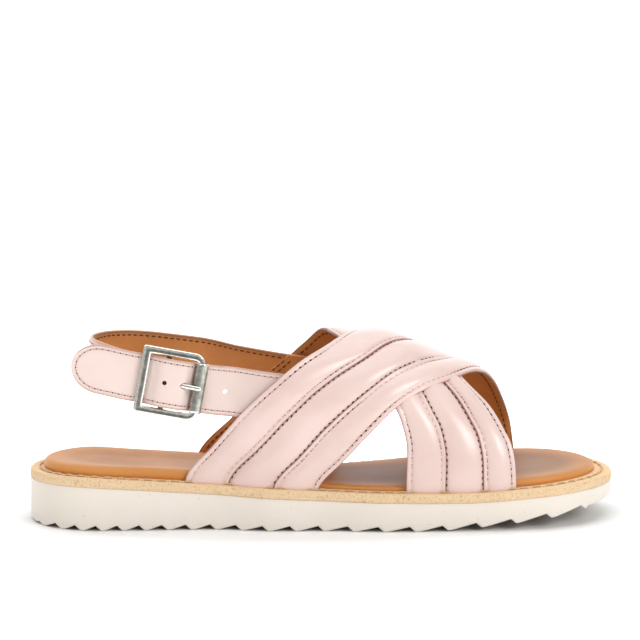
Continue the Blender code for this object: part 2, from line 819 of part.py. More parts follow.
def make_tab():
    route = tab_route()
    total = len(route) - 1
    sections = []
    for k, (along, rise, out) in enumerate(route):
        before, after = route[max(k - 1, 0)], route[min(k + 1, total)]
        slope = (after - before).normalized()
        face = Vector((-slope.z, 0, slope.x))
        # The tip is round: its half width follows a circle.
        into_tip = max(0.0, 1 - (along + TAB_TAIL) / (TAB_WIDTH / 2))
        half = TAB_WIDTH / 2 * max(math.sqrt(max(0.0, 1 - into_tip**2)), TIP_FLAT)
        section = []
        for across, thick in BAND_SECTION:
            place = at_buckle(
                along + face.x * thick * TAB_THICK, rise + across * half, out + face.z * thick * TAB_THICK
            )
            if place.x > PRESS_START:
                place = pressed(place, (0.5 - thick) * TAB_THICK)
            section.append(place)
        sections.append(section)
    shape = Shape()
    shape.tube(sections)
    tab = shape.made("buckle_tab", "sling_leather")
    reach = OUT * CUTTER_REACH
    for place in HOLES:
        middle = at_buckle(place * HOLE_PITCH, 0, OVER_BAR_OUT)
        combine(tab, rod("hole", middle - reach, middle + reach, HOLE_RADIUS), "DIFFERENCE")
    start, end = prong_arm()
    combine(tab, rod("prong_hole", start, end, PRONG_RADIUS + PRONG_HOLE_CLEARANCE), "DIFFERENCE")
    return tab


def prong_arm():
    start = at_buckle(PRONG_START, 0, BAR_OUT + HOOK_RADIUS)
    end = at_buckle(FRAME_FRONT + PRONG_OVERHANG, 0, PRONG_TIP_OUT)
    return start, end


def circle(count):
    turns = [2 * math.pi * k / count for k in range(count)]
    return [(math.cos(turn), math.sin(turn)) for turn in turns]


def rod(name, start, end, radius, sides=10):
    """A closed round bar between two points."""
    axis = (end - start).normalized()
    first = axis.orthogonal().normalized()
    second = axis.cross(first)
    sections = [
        [point + (first * x + second * y) * radius for x, y in circle(sides)] for point in (start, end)
    ]
    shape = Shape()
    shape.tube(sections)
    return shape.made(name, "buckle_metal", merge=0.000001)


def frame_outline(rear, front, half, rear_round, front_round, steps=5):
    """A rectangle in the buckle's plane with its own corner radius at the rear and at the front."""
    points = []
    for x, y, radius, start in (
        (front, -half, front_round, -90),
        (front, half, front_round, 0),
        (rear, half, rear_round, 90),
        (rear, -half, rear_round, 180),
    ):
        centre_x = x - math.copysign(radius, x)
        centre_y = y - math.copysign(radius, y)
        for k in range(steps):
            turn = math.radians(start + 90 * k / (steps - 1))
            points.append((centre_x + radius * math.cos(turn), centre_y + radius * math.sin(turn)))
    return points


def make_buckle_frame():
    half = FRAME_HEIGHT / 2
    front = FRAME_FRONT + FRONT_BAR_WIDTH / 2
    outer = frame_outline(-FRAME_REAR, front, half, REAR_CORNER_ROUND, CORNER_ROUND)
    inner = frame_outline(
        BAR_WIDTH - FRAME_REAR, front - FRONT_BAR_WIDTH, half - RAIL_WIDTH, REAR_INNER_ROUND, CORNER_ROUND / 2
    )
    sections = [
        [
            at_buckle(
                first[0] + (second[0] - first[0]) * inward,
                first[1] + (second[1] - first[1]) * inward,
                FRAME_OUT + FRAME_THICK * height,
            )
            for first, second in zip(outer, inner)
        ]
        for inward, height in RING_SECTION
    ]
    shape = Shape()
    shape.tube(sections, joined=True)
    frame = shape.made("buckle_frame", "buckle_metal", merge=0.000001)
    reach = half - RAIL_WIDTH / 2
    low, high = at_buckle(0, -reach, BAR_OUT), at_buckle(0, reach, BAR_OUT)
    bar = rod("centre_bar", low, high, CENTRE_BAR_RADIUS, 12)
    combine(frame, bar, "UNION")
    return frame


def make_roller():
    """A tube round the front bar, open at both ends, with bevelled rims."""
    bore = math.hypot(FRONT_BAR_WIDTH / 2, FRAME_THICK / 2) + GAP
    half = ROLLER_LENGTH / 2
    profile = (
        (bore, -half),
        (ROLLER_RADIUS - ROLLER_BEVEL, -half),
        (ROLLER_RADIUS, -half + ROLLER_BEVEL),
        (ROLLER_RADIUS, half - ROLLER_BEVEL),
        (ROLLER_RADIUS - ROLLER_BEVEL, half),
        (bore, half),
    )
    sections = [
        [at_buckle(FRAME_FRONT + radius * x, across, FRAME_OUT + radius * y) for x, y in circle(18)]
        for radius, across in profile
    ]
    shape = Shape()
    shape.tube(sections, joined=True)
    return shape.made("buckle_roller", "buckle_metal", merge=0.000001)


def make_prong():
    """A hook round the centre bar, then the arm through the tab to the roller."""
    start, end = prong_arm()
    points = [
        at_buckle(HOOK_RADIUS * math.cos(turn), 0, BAR_OUT + HOOK_RADIUS * math.sin(turn))
        for turn in between(HOOK_START, HOOK_END, 8)
    ]
    points += [start.lerp(end, share) for share in (0.0, 0.35, 0.7, 0.96, 1.0)]
    sections = []
    for k, point in enumerate(points):
        ahead = (points[min(k + 1, len(points) - 1)] - points[max(k - 1, 0)]).normalized()
        side = ahead.cross(ACROSS).normalized()
        radius = PRONG_RADIUS * (PRONG_TIP if k == len(points) - 1 else 1.0)
        sections.append([point + (ACROSS * x + side * y) * radius for x, y in circle(8)])
    shape = Shape()
    shape.tube(sections)
    return shape.made("buckle_prong", "buckle_metal", merge=0.000001)


def main():
    for obj in list(bpy.data.objects):
        bpy.data.objects.remove(obj, do_unlink=True)
    make_outsole()
    make_midsole()
    make_insole()
    make_upper()
    make_heel_strap()
    make_tab()
    make_buckle_frame()
    make_roller()
    make_prong()
    stations = between(0.0, SOLE_LENGTH, 200)
    middle_y = (max(edge_y(1, x) for x in stations) + min(edge_y(-1, x) for x in stations)) / 2
    for obj in bpy.data.objects:
        obj.location = (-SOLE_LENGTH / 2, -middle_y, 0.0)


main()
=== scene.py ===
import math

import bpy
import numpy as np
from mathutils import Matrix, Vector


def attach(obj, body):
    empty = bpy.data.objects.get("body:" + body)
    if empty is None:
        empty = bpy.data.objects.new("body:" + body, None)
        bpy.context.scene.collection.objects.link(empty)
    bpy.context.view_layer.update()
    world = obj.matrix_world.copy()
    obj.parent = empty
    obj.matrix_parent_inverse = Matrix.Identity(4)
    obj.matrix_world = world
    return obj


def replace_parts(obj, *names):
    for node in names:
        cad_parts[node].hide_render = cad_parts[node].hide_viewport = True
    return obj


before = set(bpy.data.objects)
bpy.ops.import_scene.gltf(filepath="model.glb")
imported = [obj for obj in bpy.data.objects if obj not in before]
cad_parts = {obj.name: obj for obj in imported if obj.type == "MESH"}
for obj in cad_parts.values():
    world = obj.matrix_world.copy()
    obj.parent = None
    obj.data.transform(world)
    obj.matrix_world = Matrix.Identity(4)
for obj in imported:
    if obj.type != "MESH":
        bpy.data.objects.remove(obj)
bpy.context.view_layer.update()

# Tables and lines

def smoothTable(rows, column):
    x = np.array([row[0] for row in rows], float)
    y = np.array([row[column] for row in rows], float)
    step = np.diff(x)
    slope = np.diff(y) / step
    tangent = np.zeros(len(x))
    tangent[0], tangent[-1] = slope[0], slope[-1]
    for i in range(1, len(x) - 1):
        if slope[i - 1] * slope[i] > 0:
            before, after = 2 * step[i] + step[i - 1], step[i] + 2 * step[i - 1]
            tangent[i] = (before + after) / (before / slope[i - 1] + after / slope[i])

    def value(at):
        at = np.clip(np.asarray(at, float), x[0], x[-1])
        i = np.minimum(np.searchsorted(x, at, side="right") - 1, len(step) - 1)
        t = (at - x[i]) / step[i]
        ends = y[i] * (1 + 2 * t) * (1 - t) ** 2 + y[i + 1] * t * t * (3 - 2 * t)
        bends = tangent[i] * t * (1 - t) ** 2 - tangent[i + 1] * t * t * (1 - t)
        return ends + bends * step[i]

    return value


def smoothStep(low, high, at):
    t = np.clip((np.asarray(at, float) - low) / (high - low), 0.0, 1.0)
    return t * t * (3 - 2 * t)


def bump(at, middle, half):
    t = np.clip(np.abs(np.asarray(at, float) - middle) / half, 0.0, 1.0)
    return (1 - t * t) ** 2


def unit(vectors):
    return vectors / np.maximum(np.linalg.norm(vectors, axis=-1, keepdims=True), 1e-12)


def lengthsAlong(points):
    return np.concatenate(([0.0], np.cumsum(np.linalg.norm(np.diff(points, axis=0), axis=1))))


def readAlong(at, gone, values):
    return np.stack([np.interp(at, gone, values[:, k]) for k in range(3)], axis=-1)


def resample(points, count):
    points = np.asarray(points, float)
    gone = lengthsAlong(points)
    return readAlong(np.linspace(0.0, gone[-1], count), gone, points)


# Sole, shared by every piece

sole = {
    "length": 0.265, "ballWidth": 0.094, "heelWidth": 0.066, "heelRound": 0.033, "toeRound": 0.040,
    "heelThick": 0.0200, "foreThick": 0.0126, "toeSpring": 0.0091, "springStart": 0.1735,
    "springCurve": 1.4, "heelLift": 0.0012, "heelLiftLength": 0.0040, "bevel": 0.0011, "inset": 0.0003,
    "toothDepth": 0.0022, "toothLand": 0.0014, "toothDrop": 0.0025, "firstTooth": 0.0054,
    "firstNotch": 0.0016, "heelPitch": 0.0083, "toePitch": 0.0179, "toeRise": 0.0010, "gap": 0.0003,
    "step": 0.0007, "corner": 0.00018, "endBevel": 0.0062, "notchShade": 0.0016, "topRound": 0.00025,
}
# Sole half widths: outer side (heel share, ball share), inner side (heel share, ball share)
outlineRows = (
    (0.00, 1.00, 0.000, 1.00, 0.000),
    (0.14, 1.00, 0.000, 1.00, 0.000),
    (0.30, 1.00, 0.000, 0.97, 0.000),
    (0.40, 0.70, 0.330, 0.60, 0.190),
    (0.50, 0.36, 0.600, 0.28, 0.410),
    (0.60, 0.08, 0.880, 0.06, 0.760),
    (0.70, 0.00, 0.950, 0.00, 1.020),
    (0.78, 0.00, 0.945, 0.00, 1.053),
    (0.86, 0.00, 0.900, 0.00, 1.010),
    (1.00, 0.00, 0.830, 0.00, 0.900),
)
# Top of the rubber: along, heel share, forefoot share, toe spring share
topRows = (
    (0.00, 0.97, 0.00, 0.00),
    (0.08, 0.98, 0.00, 0.00),
    (0.17, 0.80, 0.18, 0.00),
    (0.34, 0.41, 0.57, 0.00),
    (0.56, 0.10, 0.88, 0.00),
    (0.72, 0.00, 1.00, 0.00),
    (0.86, 0.00, 1.00, 0.20),
    (0.93, 0.00, 0.97, 0.35),
    (1.00, 0.00, 0.90, 0.47),
)
outline = [smoothTable(outlineRows, column) for column in range(1, 5)]
topParts = [smoothTable(topRows, column) for column in range(1, 4)]


def halfWidth(side, x):
    heel, ball = (outline[0], outline[1]) if side < 0 else (outline[2], outline[3])
    along = np.asarray(x, float) / sole["length"]
    return heel(along) * sole["heelWidth"] / 2 + ball(along) * sole["ballWidth"] / 2


def edgeY(side, x):
    x = np.asarray(x, float)
    near, far = halfWidth(-1, x), halfWidth(1, x)
    intoHeel = np.maximum(0.0, 1 - x / sole["heelRound"])
    intoToe = np.maximum(0.0, 1 - (sole["length"] - x) / sole["toeRound"])
    cap = np.sqrt(np.maximum(0.0, 1 - np.maximum(intoHeel, intoToe) ** 2))
    centre = np.where(intoHeel > 0, 0.0, (far - near) / 2)
    return centre + side * (far + near) / 2 * cap


def ground(x):
    x = np.asarray(x, float)
    spring = np.maximum(0.0, (x - sole["springStart"]) / (sole["length"] - sole["springStart"]))
    lift = np.maximum(0.0, 1 - x / sole["heelLiftLength"])
    return sole["toeSpring"] * spring ** sole["springCurve"] + sole["heelLift"] * lift**2


def outsoleTop(x):
    along = np.asarray(x, float) / sole["length"]
    heel, fore, spring = (part(along) for part in topParts)
    return heel * sole["heelThick"] + fore * sole["foreThick"] + spring * sole["toeSpring"]


def weltTop(x):
    return outsoleTop(x) + sole["gap"] + welt["thick"]


stations = np.linspace(0.0, sole["length"], 200)
middleY = (edgeY(1, stations).max() + edgeY(-1, stations).min()) / 2
shift = np.array((-sole["length"] / 2, -middleY, 0.0))


# Meshes

def makeObject(name, points, faces, material, sharp=None, values=None):
    data = bpy.data.meshes.new(name)
    data.from_pydata([tuple(point) for point in np.asarray(points) + shift], [], faces)
    data.validate()
    data.shade_smooth()
    if sharp:
        data.set_sharp_from_angle(angle=math.radians(sharp))
    for key, column in (values or {}).items():
        attribute = data.attributes.new(key, "FLOAT", "POINT")
        attribute.data.foreach_set("value", np.asarray(column, np.float32).ravel())
    obj = bpy.data.objects.new(name, data)
    obj.data.materials.append(material)
    bpy.context.scene.collection.objects.link(obj)
    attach(obj, "root")
    return obj


def gridFaces(rows, columns, start=0, around=False, along=False):
    faces = []
    for r in range(rows if along else rows - 1):
        nextRow = (r + 1) % rows
        for c in range(columns if around else columns - 1):
            nextColumn = (c + 1) % columns
            faces.append((
                start + r * columns + c,
                start + r * columns + nextColumn,
                start + nextRow * columns + nextColumn,
                start + nextRow * columns + c,
            ))
    return faces


def tubeObject(name, grid, material, sharp=None, along=False, values=None, flip=False):
    rows, columns = grid.shape[:2]  # each row is a closed ring of points
    faces = gridFaces(rows, columns, around=True, along=along)
    if not along:
        faces.append(tuple(range(columns))[::-1])
        faces.append(tuple((rows - 1) * columns + c for c in range(columns)))
    if flip:
        faces = [face[::-1] for face in faces]
    return makeObject(name, grid.reshape(-1, 3), faces, material, sharp, values)


thread = {"flat": 0.75, "arch": 0.3, "tuck": 0.06}


# Short threads, each arched up in its middle and tucked in at its ends
def sewThreads(name, row, radius, material, sides=7, rings=7):
    axis = row["ends"] - row["starts"]
    side = unit(np.cross(axis, row["ups"]))
    up = unit(np.cross(side, axis))
    t = np.linspace(0.0, 1.0, rings)
    girth = np.clip(np.sin(math.pi * (thread["tuck"] + (1 - 2 * thread["tuck"]) * t)), 0, 1) ** 0.45
    turn = np.linspace(0.0, 2 * math.pi, sides, endpoint=False)
    lift = (4 * t * (1 - t)) ** 0.6 * radius * (1 + thread["arch"]) - radius * thread["arch"]
    centre = (
        row["starts"][:, None, None] + axis[:, None, None] * t[None, :, None, None]
        + up[:, None, None] * lift[None, :, None, None]
    )
    ring = (
        side[:, None, None] * np.cos(turn)[None, None, :, None]
        + up[:, None, None] * (np.sin(turn) * thread["flat"])[None, None, :, None]
    )
    points = centre + ring * (girth * radius)[None, :, None, None]
    faces = []
    for k in range(len(axis)):
        first = k * rings * sides
        faces += gridFaces(rings, sides, first, around=True)
        faces.append(tuple(first + c for c in range(sides))[::-1])
        faces.append(tuple(first + (rings - 1) * sides + c for c in range(sides)))
    return makeObject(name, points.reshape(-1, 3), faces, material)


holeShape = ((1.0, 0.02), (0.72, 0.10), (0.35, 0.14))  # share of the radius, rise


# Needle holes as dark discs that lie in the surface: painted shade for the holes' insides
def needleHoles(name, row, radius, long=1.0, sides=10):
    places, ups, aheads = (np.asarray(row[key], float) for key in ("holes", "holeUps", "ahead"))
    across = unit(np.cross(ups, aheads))
    ahead = unit(np.cross(across, ups))
    turn = np.linspace(0.0, 2 * math.pi, sides, endpoint=False)
    rings = [
        places[:, None]
        + ahead[:, None] * (np.cos(turn) * radius * share * long)[None, :, None]
        + across[:, None] * (np.sin(turn) * radius * share)[None, :, None]
        + ups[:, None] * (radius * rise)
        for share, rise in holeShape
    ]
    faces = []
    for k in range(len(places)):
        first = k * len(holeShape) * sides
        faces += gridFaces(len(holeShape), sides, first, around=True)
        faces.append(tuple(first + (len(holeShape) - 1) * sides + c for c in range(sides)))
    return makeObject(name, np.stack(rings, axis=1).reshape(-1, 3), faces, paintedHoleShade)


# Even stitches along a line: starts, ends and ups of the threads, and their needle holes
def stitchRow(line, ups, pitch, share, margin=0.0015):
    gone = lengthsAlong(line)
    count = max(int((gone[-1] - 2 * margin) / pitch), 1)
    first = (gone[-1] - count * pitch) / 2
    begin = first + pitch * np.arange(count) + pitch * (1 - share) / 2
    holeAt = first + pitch * np.arange(count + 1)
    holes = readAlong(holeAt, gone, line)
    return {
        "starts": readAlong(begin, gone, line), "ends": readAlong(begin + pitch * share, gone, line),
        "ups": unit(readAlong(begin + pitch * share / 2, gone, ups)),
        "holes": holes, "holeUps": unit(readAlong(holeAt, gone, ups)),
        "ahead": unit(readAlong(holeAt + 0.0004, gone, line) - holes + 1e-9),
    }


def joinRows(rows):
    return {key: np.concatenate([row[key] for row in rows]) for key in rows[0]}


# Shader parts

class Nodes:
    def __init__(self, tree):
        self.tree = tree

    def add(self, kind, values=None, **settings):
        node = self.tree.nodes.new(kind)
        for key, value in settings.items():
            setattr(node, key, value)
        for key, value in (values or {}).items():
            node.inputs[key].default_value = value
        return node

    def link(self, source, target):
        self.tree.links.new(source, target)

    def math(self, operation, first, second=None, clamp=False):
        node = self.add("ShaderNodeMath", operation=operation, use_clamp=clamp)
        for k, value in enumerate((first, second)):
            if value is None:
                continue
            if isinstance(value, (int, float)):
                node.inputs[k].default_value = value
            else:
                self.link(value, node.inputs[k])
        return node.outputs[0]

    def ramp(self, source, stops):
        node = self.add("ShaderNodeValToRGB")
        elements = node.color_ramp.elements
        while len(elements) < len(stops):
            elements.new(0.5)
        for element, (position, value) in zip(elements, stops):
            element.position = position
            element.color = (value, value, value, 1.0) if isinstance(value, (int, float)) else (*value, 1.0)
        self.link(source, node.inputs["Fac"])
        return node.outputs["Color"]

    def mix(self, factor, first, second, blend="MIX"):
        node = self.add("ShaderNodeMix", data_type="RGBA", blend_type=blend)
        for socket, value in ((node.inputs[0], factor), (node.inputs[6], first), (node.inputs[7], second)):
            if isinstance(value, (int, float)):
                socket.default_value = value
            elif isinstance(value, tuple):
                socket.default_value = (*value, 1.0)
            else:
                self.link(value, socket)
        return node.outputs[2]

    def noise(self, vector, scale, detail=3.0, roughness=0.5):
        node = self.add("ShaderNodeTexNoise", {"Scale": scale, "Detail": detail, "Roughness": roughness})
        self.link(vector, node.inputs["Vector"])
        return node.outputs["Fac"]

    def place(self):
        return self.add("ShaderNodeTexCoord").outputs["Object"]


def linear(red, green, blue):
    return tuple(
        (value / 255 / 12.92) if value <= 10 else ((value / 255 + 0.055) / 1.055) ** 2.4
        for value in (red, green, blue)
    )


def newGroup(name, inputs, outputs):
    tree = bpy.data.node_groups.new(name, "ShaderNodeTree")
    for key, kind, default in inputs:
        socket = tree.interface.new_socket(name=key, in_out="INPUT", socket_type=kind)
        socket.default_value = default
    for key, kind in outputs:
        tree.interface.new_socket(name=key, in_out="OUTPUT", socket_type=kind)
    nodes = Nodes(tree)
    return nodes, nodes.add("NodeGroupInput"), nodes.add("NodeGroupOutput")


# Leather grain: a shallow pebble, small pores and soft wrinkles
def grainGroup():
    nodes, given, out = newGroup(
        "leatherGrain",
        (("Scale", "NodeSocketFloat", 900.0), ("Strength", "NodeSocketFloat", 0.15)),
        (("Normal", "NodeSocketVector"), ("Mottle", "NodeSocketFloat")),
    )
    place = nodes.place()
    cells = nodes.add("ShaderNodeTexVoronoi", {"Randomness": 1.0}, feature="SMOOTH_F1")
    nodes.link(place, cells.inputs["Vector"])
    nodes.link(given.outputs["Scale"], cells.inputs["Scale"])
    pores = nodes.add("ShaderNodeTexNoise", {"Detail": 4.0, "Roughness": 0.6})
    nodes.link(place, pores.inputs["Vector"])
    nodes.link(nodes.math("MULTIPLY", given.outputs["Scale"], 2.3), pores.inputs["Scale"])
    wrinkles = nodes.noise(place, 75.0, 3.0, 0.55)
    height = nodes.math("ADD", cells.outputs["Distance"], nodes.math("MULTIPLY", pores.outputs["Fac"], 0.5))
    height = nodes.math("ADD", height, nodes.math("MULTIPLY", wrinkles, 2.4))
    bumpNode = nodes.add("ShaderNodeBump", {"Distance": 0.00025})
    nodes.link(given.outputs["Strength"], bumpNode.inputs["Strength"])
    nodes.link(height, bumpNode.inputs["Height"])
    nodes.link(bumpNode.outputs["Normal"], out.inputs["Normal"])
    nodes.link(nodes.noise(place, 28.0, 5.0, 0.6), out.inputs["Mottle"])
    return nodes.tree


# Cut edge of leather board: short fibres and dark specks
def fibreGroup():
    nodes, given, out = newGroup(
        "cutFibre",
        (("Strength", "NodeSocketFloat", 0.6),),
        (("Normal", "NodeSocketVector"), ("Fleck", "NodeSocketFloat"), ("Layers", "NodeSocketFloat")),
    )
    place = nodes.place()
    stretch = nodes.add("ShaderNodeMapping", {"Scale": (1.0, 1.0, 2.6)})
    nodes.link(place, stretch.inputs["Vector"])
    coarse = nodes.noise(stretch.outputs["Vector"], 900.0, 4.0, 0.65)
    fine = nodes.noise(stretch.outputs["Vector"], 3200.0, 2.0, 0.6)
    layers = nodes.noise(stretch.outputs["Vector"], 160.0, 3.0, 0.5)
    height = nodes.math("ADD", coarse, nodes.math("MULTIPLY", fine, 0.5))
    bumpNode = nodes.add("ShaderNodeBump", {"Distance": 0.0004})
    nodes.link(given.outputs["Strength"], bumpNode.inputs["Strength"])
    nodes.link(height, bumpNode.inputs["Height"])
    nodes.link(bumpNode.outputs["Normal"], out.inputs["Normal"])
    specks = nodes.noise(place, 1100.0, 3.0, 0.7)
    nodes.link(nodes.ramp(specks, ((0.34, 1.0), (0.46, 0.0))), out.inputs["Fleck"])
    nodes.link(layers, out.inputs["Layers"])
    return nodes.tree


# Polished edges from the mesh's own edge value, and patches of darker patina
def wearGroup():
    nodes, given, out = newGroup(
        "edgeWear",
        (("Amount", "NodeSocketFloat", 1.0),),
        (("Wear", "NodeSocketFloat"), ("Patina", "NodeSocketFloat")),
    )
    place = nodes.place()
    edge = nodes.add("ShaderNodeAttribute", attribute_name="edge")
    broken = nodes.noise(place, 420.0, 5.0, 0.65)
    wear = nodes.math("MULTIPLY", edge.outputs["Fac"], nodes.math("ADD", broken, 0.45))
    nodes.link(nodes.math("MULTIPLY", wear, given.outputs["Amount"], clamp=True), out.inputs["Wear"])
    patina = nodes.ramp(nodes.noise(place, 260.0, 6.0, 0.7), ((0.35, 0.0), (0.68, 1.0)))
    nodes.link(patina, out.inputs["Patina"])
    return nodes.tree


def newMaterial(name, roughness, metallic=0.0, **sockets):
    material = bpy.data.materials.new(name)
    material.use_nodes = True
    nodes = Nodes(material.node_tree)
    shader = material.node_tree.nodes["Principled BSDF"]
    shader.inputs["Roughness"].default_value = roughness
    shader.inputs["Metallic"].default_value = metallic
    for key, value in sockets.items():
        shader.inputs[key.replace("_", " ")].default_value = value
    return material, nodes, shader


def useGroup(nodes, tree, **values):
    node = nodes.add("ShaderNodeGroup", node_tree=tree)
    for key, value in values.items():
        node.inputs[key].default_value = value
    return node


leatherGrain = grainGroup()
cutFibre = fibreGroup()
edgeWear = wearGroup()


leathers = {
    "pinkLeather": {
        # Its edge tone is the cut side walls' own colour and painted shade in the seam grooves and along
        # the rolled edges
        "light": (233, 208, 200), "dark": (225, 197, 189), "edge": (164, 108, 98),
        "rough": 0.33, "coat": 0.5, "grain": 1300.0, "bump": 0.05,
    },
    "slingLeather": {
        "light": (232, 208, 200), "dark": (224, 197, 189), "edge": (212, 158, 118),
        "rough": 0.34, "coat": 0.4, "grain": 1300.0, "bump": 0.05,
    },
    "tabLeather": {
        "light": (234, 213, 205), "dark": (229, 206, 197), "edge": (190, 148, 136),
        "rough": 0.36, "coat": 0.3, "grain": 1300.0, "bump": 0.06,
    },
    "tanLining": {
        "light": (210, 142, 78), "dark": (192, 124, 64), "edge": (136, 84, 46),
        "rough": 0.62, "coat": 0.0, "grain": 1000.0, "bump": 0.14,
    },
    "footbedLeather": {
        # Its front tone is painted shade under the straps and at the toe
        "light": (204, 148, 98), "dark": (188, 130, 82), "edge": (216, 147, 78), "front": (158, 110, 74),
        "rough": 0.46, "coat": 0.0, "grain": 1000.0, "bump": 0.10, "specular": 0.32,
    },
}


# Smooth leather in two close tones, and the mesh's edge value mixing in a third: the edges' own tone and,
# on the straps, painted shade in the seam grooves and along the rolled edges. Where asked, painted shade
# darkens it towards the front
def leather(name):
    look = leathers[name]
    material, nodes, shader = newMaterial(
        name, look["rough"], Coat_Weight=look["coat"], Coat_Roughness=0.19,
        Specular_IOR_Level=look.get("specular", 0.5),
    )
    grain = useGroup(nodes, leatherGrain, Scale=look["grain"], Strength=look["bump"])
    mottle = nodes.ramp(grain.outputs["Mottle"], ((0.32, 0.0), (0.68, 1.0)))
    colour = nodes.mix(mottle, linear(*look["light"]), linear(*look["dark"]))
    # Painted shade: darker towards the front, where the straps shade the footbed
    if "front" in look:
        apart = nodes.add("ShaderNodeSeparateXYZ")
        nodes.link(nodes.place(), apart.inputs[0])
        ahead = nodes.math("ADD", nodes.math("MULTIPLY", apart.outputs["X"], 1 / sole["length"]), 0.5)
        colour = nodes.mix(nodes.ramp(ahead, ((0.22, 0.0), (0.58, 1.0))), colour, linear(*look["front"]))
    edge = nodes.add("ShaderNodeAttribute", attribute_name="edge")
    colour = nodes.mix(edge.outputs["Fac"], colour, linear(*look["edge"]))
    nodes.link(colour, shader.inputs["Base Color"])
    rough = nodes.math("ADD", nodes.math("MULTIPLY", grain.outputs["Mottle"], 0.16), look["rough"] - 0.08)
    nodes.link(rough, shader.inputs["Roughness"])
    nodes.link(grain.outputs["Normal"], shader.inputs["Normal"])
    nodes.link(grain.outputs["Normal"], shader.inputs["Coat Normal"])
    return material


# Twisted thread with fine slanting lines: painted shade darkens the grooves of the twist, where its bump is
# low
def threadMaterial(name, colour, dark, sheen=0.3):
    material, nodes, shader = newMaterial(name, 0.62, Sheen_Weight=sheen, Specular_IOR_Level=0.2)
    place = nodes.place()
    twist = nodes.add("ShaderNodeTexWave", {"Scale": 900.0, "Distortion": 2.0}, bands_direction="DIAGONAL")
    nodes.link(place, twist.inputs["Vector"])
    nodes.link(nodes.mix(twist.outputs["Fac"], dark, colour), shader.inputs["Base Color"])
    bumpNode = nodes.add("ShaderNodeBump", {"Strength": 0.5, "Distance": 0.0001})
    nodes.link(twist.outputs["Fac"], bumpNode.inputs["Height"])
    nodes.link(bumpNode.outputs["Normal"], shader.inputs["Normal"])
    return material


def rubberMaterial():
    material, nodes, shader = newMaterial("creamRubber", 0.5, Specular_IOR_Level=0.4)
    place = nodes.place()
    cloud = nodes.noise(place, 40.0, 4.0, 0.6)
    scuff = nodes.noise(place, 700.0, 4.0, 0.7)
    colour = nodes.mix(cloud, linear(240, 232, 222), linear(233, 223, 210))
    # Painted shade: the mesh's edge value mixes dark brown into the underside, most in the notches between
    # the teeth
    edge = nodes.add("ShaderNodeAttribute", attribute_name="edge")
    colour = nodes.mix(nodes.math("MULTIPLY", edge.outputs["Fac"], 0.9), colour, linear(98, 84, 68))
    specks = nodes.ramp(nodes.noise(place, 520.0, 1.0, 0.5), ((0.20, 0.5), (0.27, 0.0)))
    colour = nodes.mix(specks, colour, linear(205, 186, 163))
    nodes.link(colour, shader.inputs["Base Color"])
    nodes.link(nodes.math("ADD", nodes.math("MULTIPLY", cloud, 0.15), 0.43), shader.inputs["Roughness"])
    bumpNode = nodes.add("ShaderNodeBump", {"Strength": 0.12, "Distance": 0.0002})
    nodes.link(nodes.math("ADD", scuff, cloud), bumpNode.inputs["Height"])
    nodes.link(bumpNode.outputs["Normal"], shader.inputs["Normal"])
    return material


def weltMaterial():
    material, nodes, shader = newMaterial("weltLeather", 0.82)
    fibre = useGroup(nodes, cutFibre, Strength=0.7)
    smooth = useGroup(nodes, leatherGrain, Scale=1100.0, Strength=0.12)
    side = nodes.add("ShaderNodeAttribute", attribute_name="edge")
    cut = nodes.mix(fibre.outputs["Layers"], linear(228, 194, 150), linear(245, 218, 180))
    cut = nodes.mix(nodes.math("MULTIPLY", fibre.outputs["Fleck"], 0.6), cut, linear(168, 124, 80))
    top = nodes.mix(smooth.outputs["Mottle"], linear(243, 210, 166), linear(233, 196, 150))
    nodes.link(nodes.mix(side.outputs["Fac"], top, cut), shader.inputs["Base Color"])
    normal = nodes.add("ShaderNodeMix", data_type="VECTOR")
    nodes.link(side.outputs["Fac"], normal.inputs[0])
    nodes.link(smooth.outputs["Normal"], normal.inputs[4])
    nodes.link(fibre.outputs["Normal"], normal.inputs[5])
    nodes.link(normal.outputs[1], shader.inputs["Normal"])
    return material


def metalMaterial(name, base, dark, roughness):
    material, nodes, shader = newMaterial(name, roughness, metallic=1.0)
    wear = useGroup(nodes, edgeWear, Amount=1.6)
    colour = nodes.mix(wear.outputs["Patina"], base, dark)
    colour = nodes.mix(wear.outputs["Wear"], colour, linear(246, 244, 238))
    nodes.link(colour, shader.inputs["Base Color"])
    rough = nodes.math("SUBTRACT", roughness + 0.1, nodes.math("MULTIPLY", wear.outputs["Wear"], 0.14))
    nodes.link(rough, shader.inputs["Roughness"])
    scratch = nodes.noise(nodes.place(), 1600.0, 3.0, 0.6)
    bumpNode = nodes.add("ShaderNodeBump", {"Strength": 0.1, "Distance": 0.0001})
    nodes.link(scratch, bumpNode.inputs["Height"])
    nodes.link(bumpNode.outputs["Normal"], shader.inputs["Normal"])
    return material


pinkLeather = leather("pinkLeather")
slingLeatherLook = leather("slingLeather")
tabLeatherLook = leather("tabLeather")
tanLining = leather("tanLining")
footbedLeather = leather("footbedLeather")
creamRubber = rubberMaterial()
weltLeather = weltMaterial()
creamThread = threadMaterial("creamThread", linear(236, 210, 172), linear(190, 150, 105))
pinkThread = threadMaterial("pinkThread", linear(226, 194, 184), linear(184, 140, 128))
brownThread = threadMaterial("brownThread", linear(112, 62, 28), linear(70, 36, 14), 0.0)
# Painted shade for the insides of needle holes, in dark browns
paintedHoleShade, holeNodes, holeShader = newMaterial("needleHoleShade", 0.9, Specular_IOR_Level=0.1)
holeNodes.link(
    holeNodes.mix(holeNodes.noise(holeNodes.place(), 900.0), linear(58, 30, 26), linear(88, 50, 42)),
    holeShader.inputs["Base Color"],
)
nickel = metalMaterial("antiquedNickel", linear(134, 137, 128), linear(68, 72, 63), 0.24)
brightNickel = metalMaterial("brightNickel", linear(188, 189, 181), linear(122, 124, 114), 0.18)


# Rubber sole

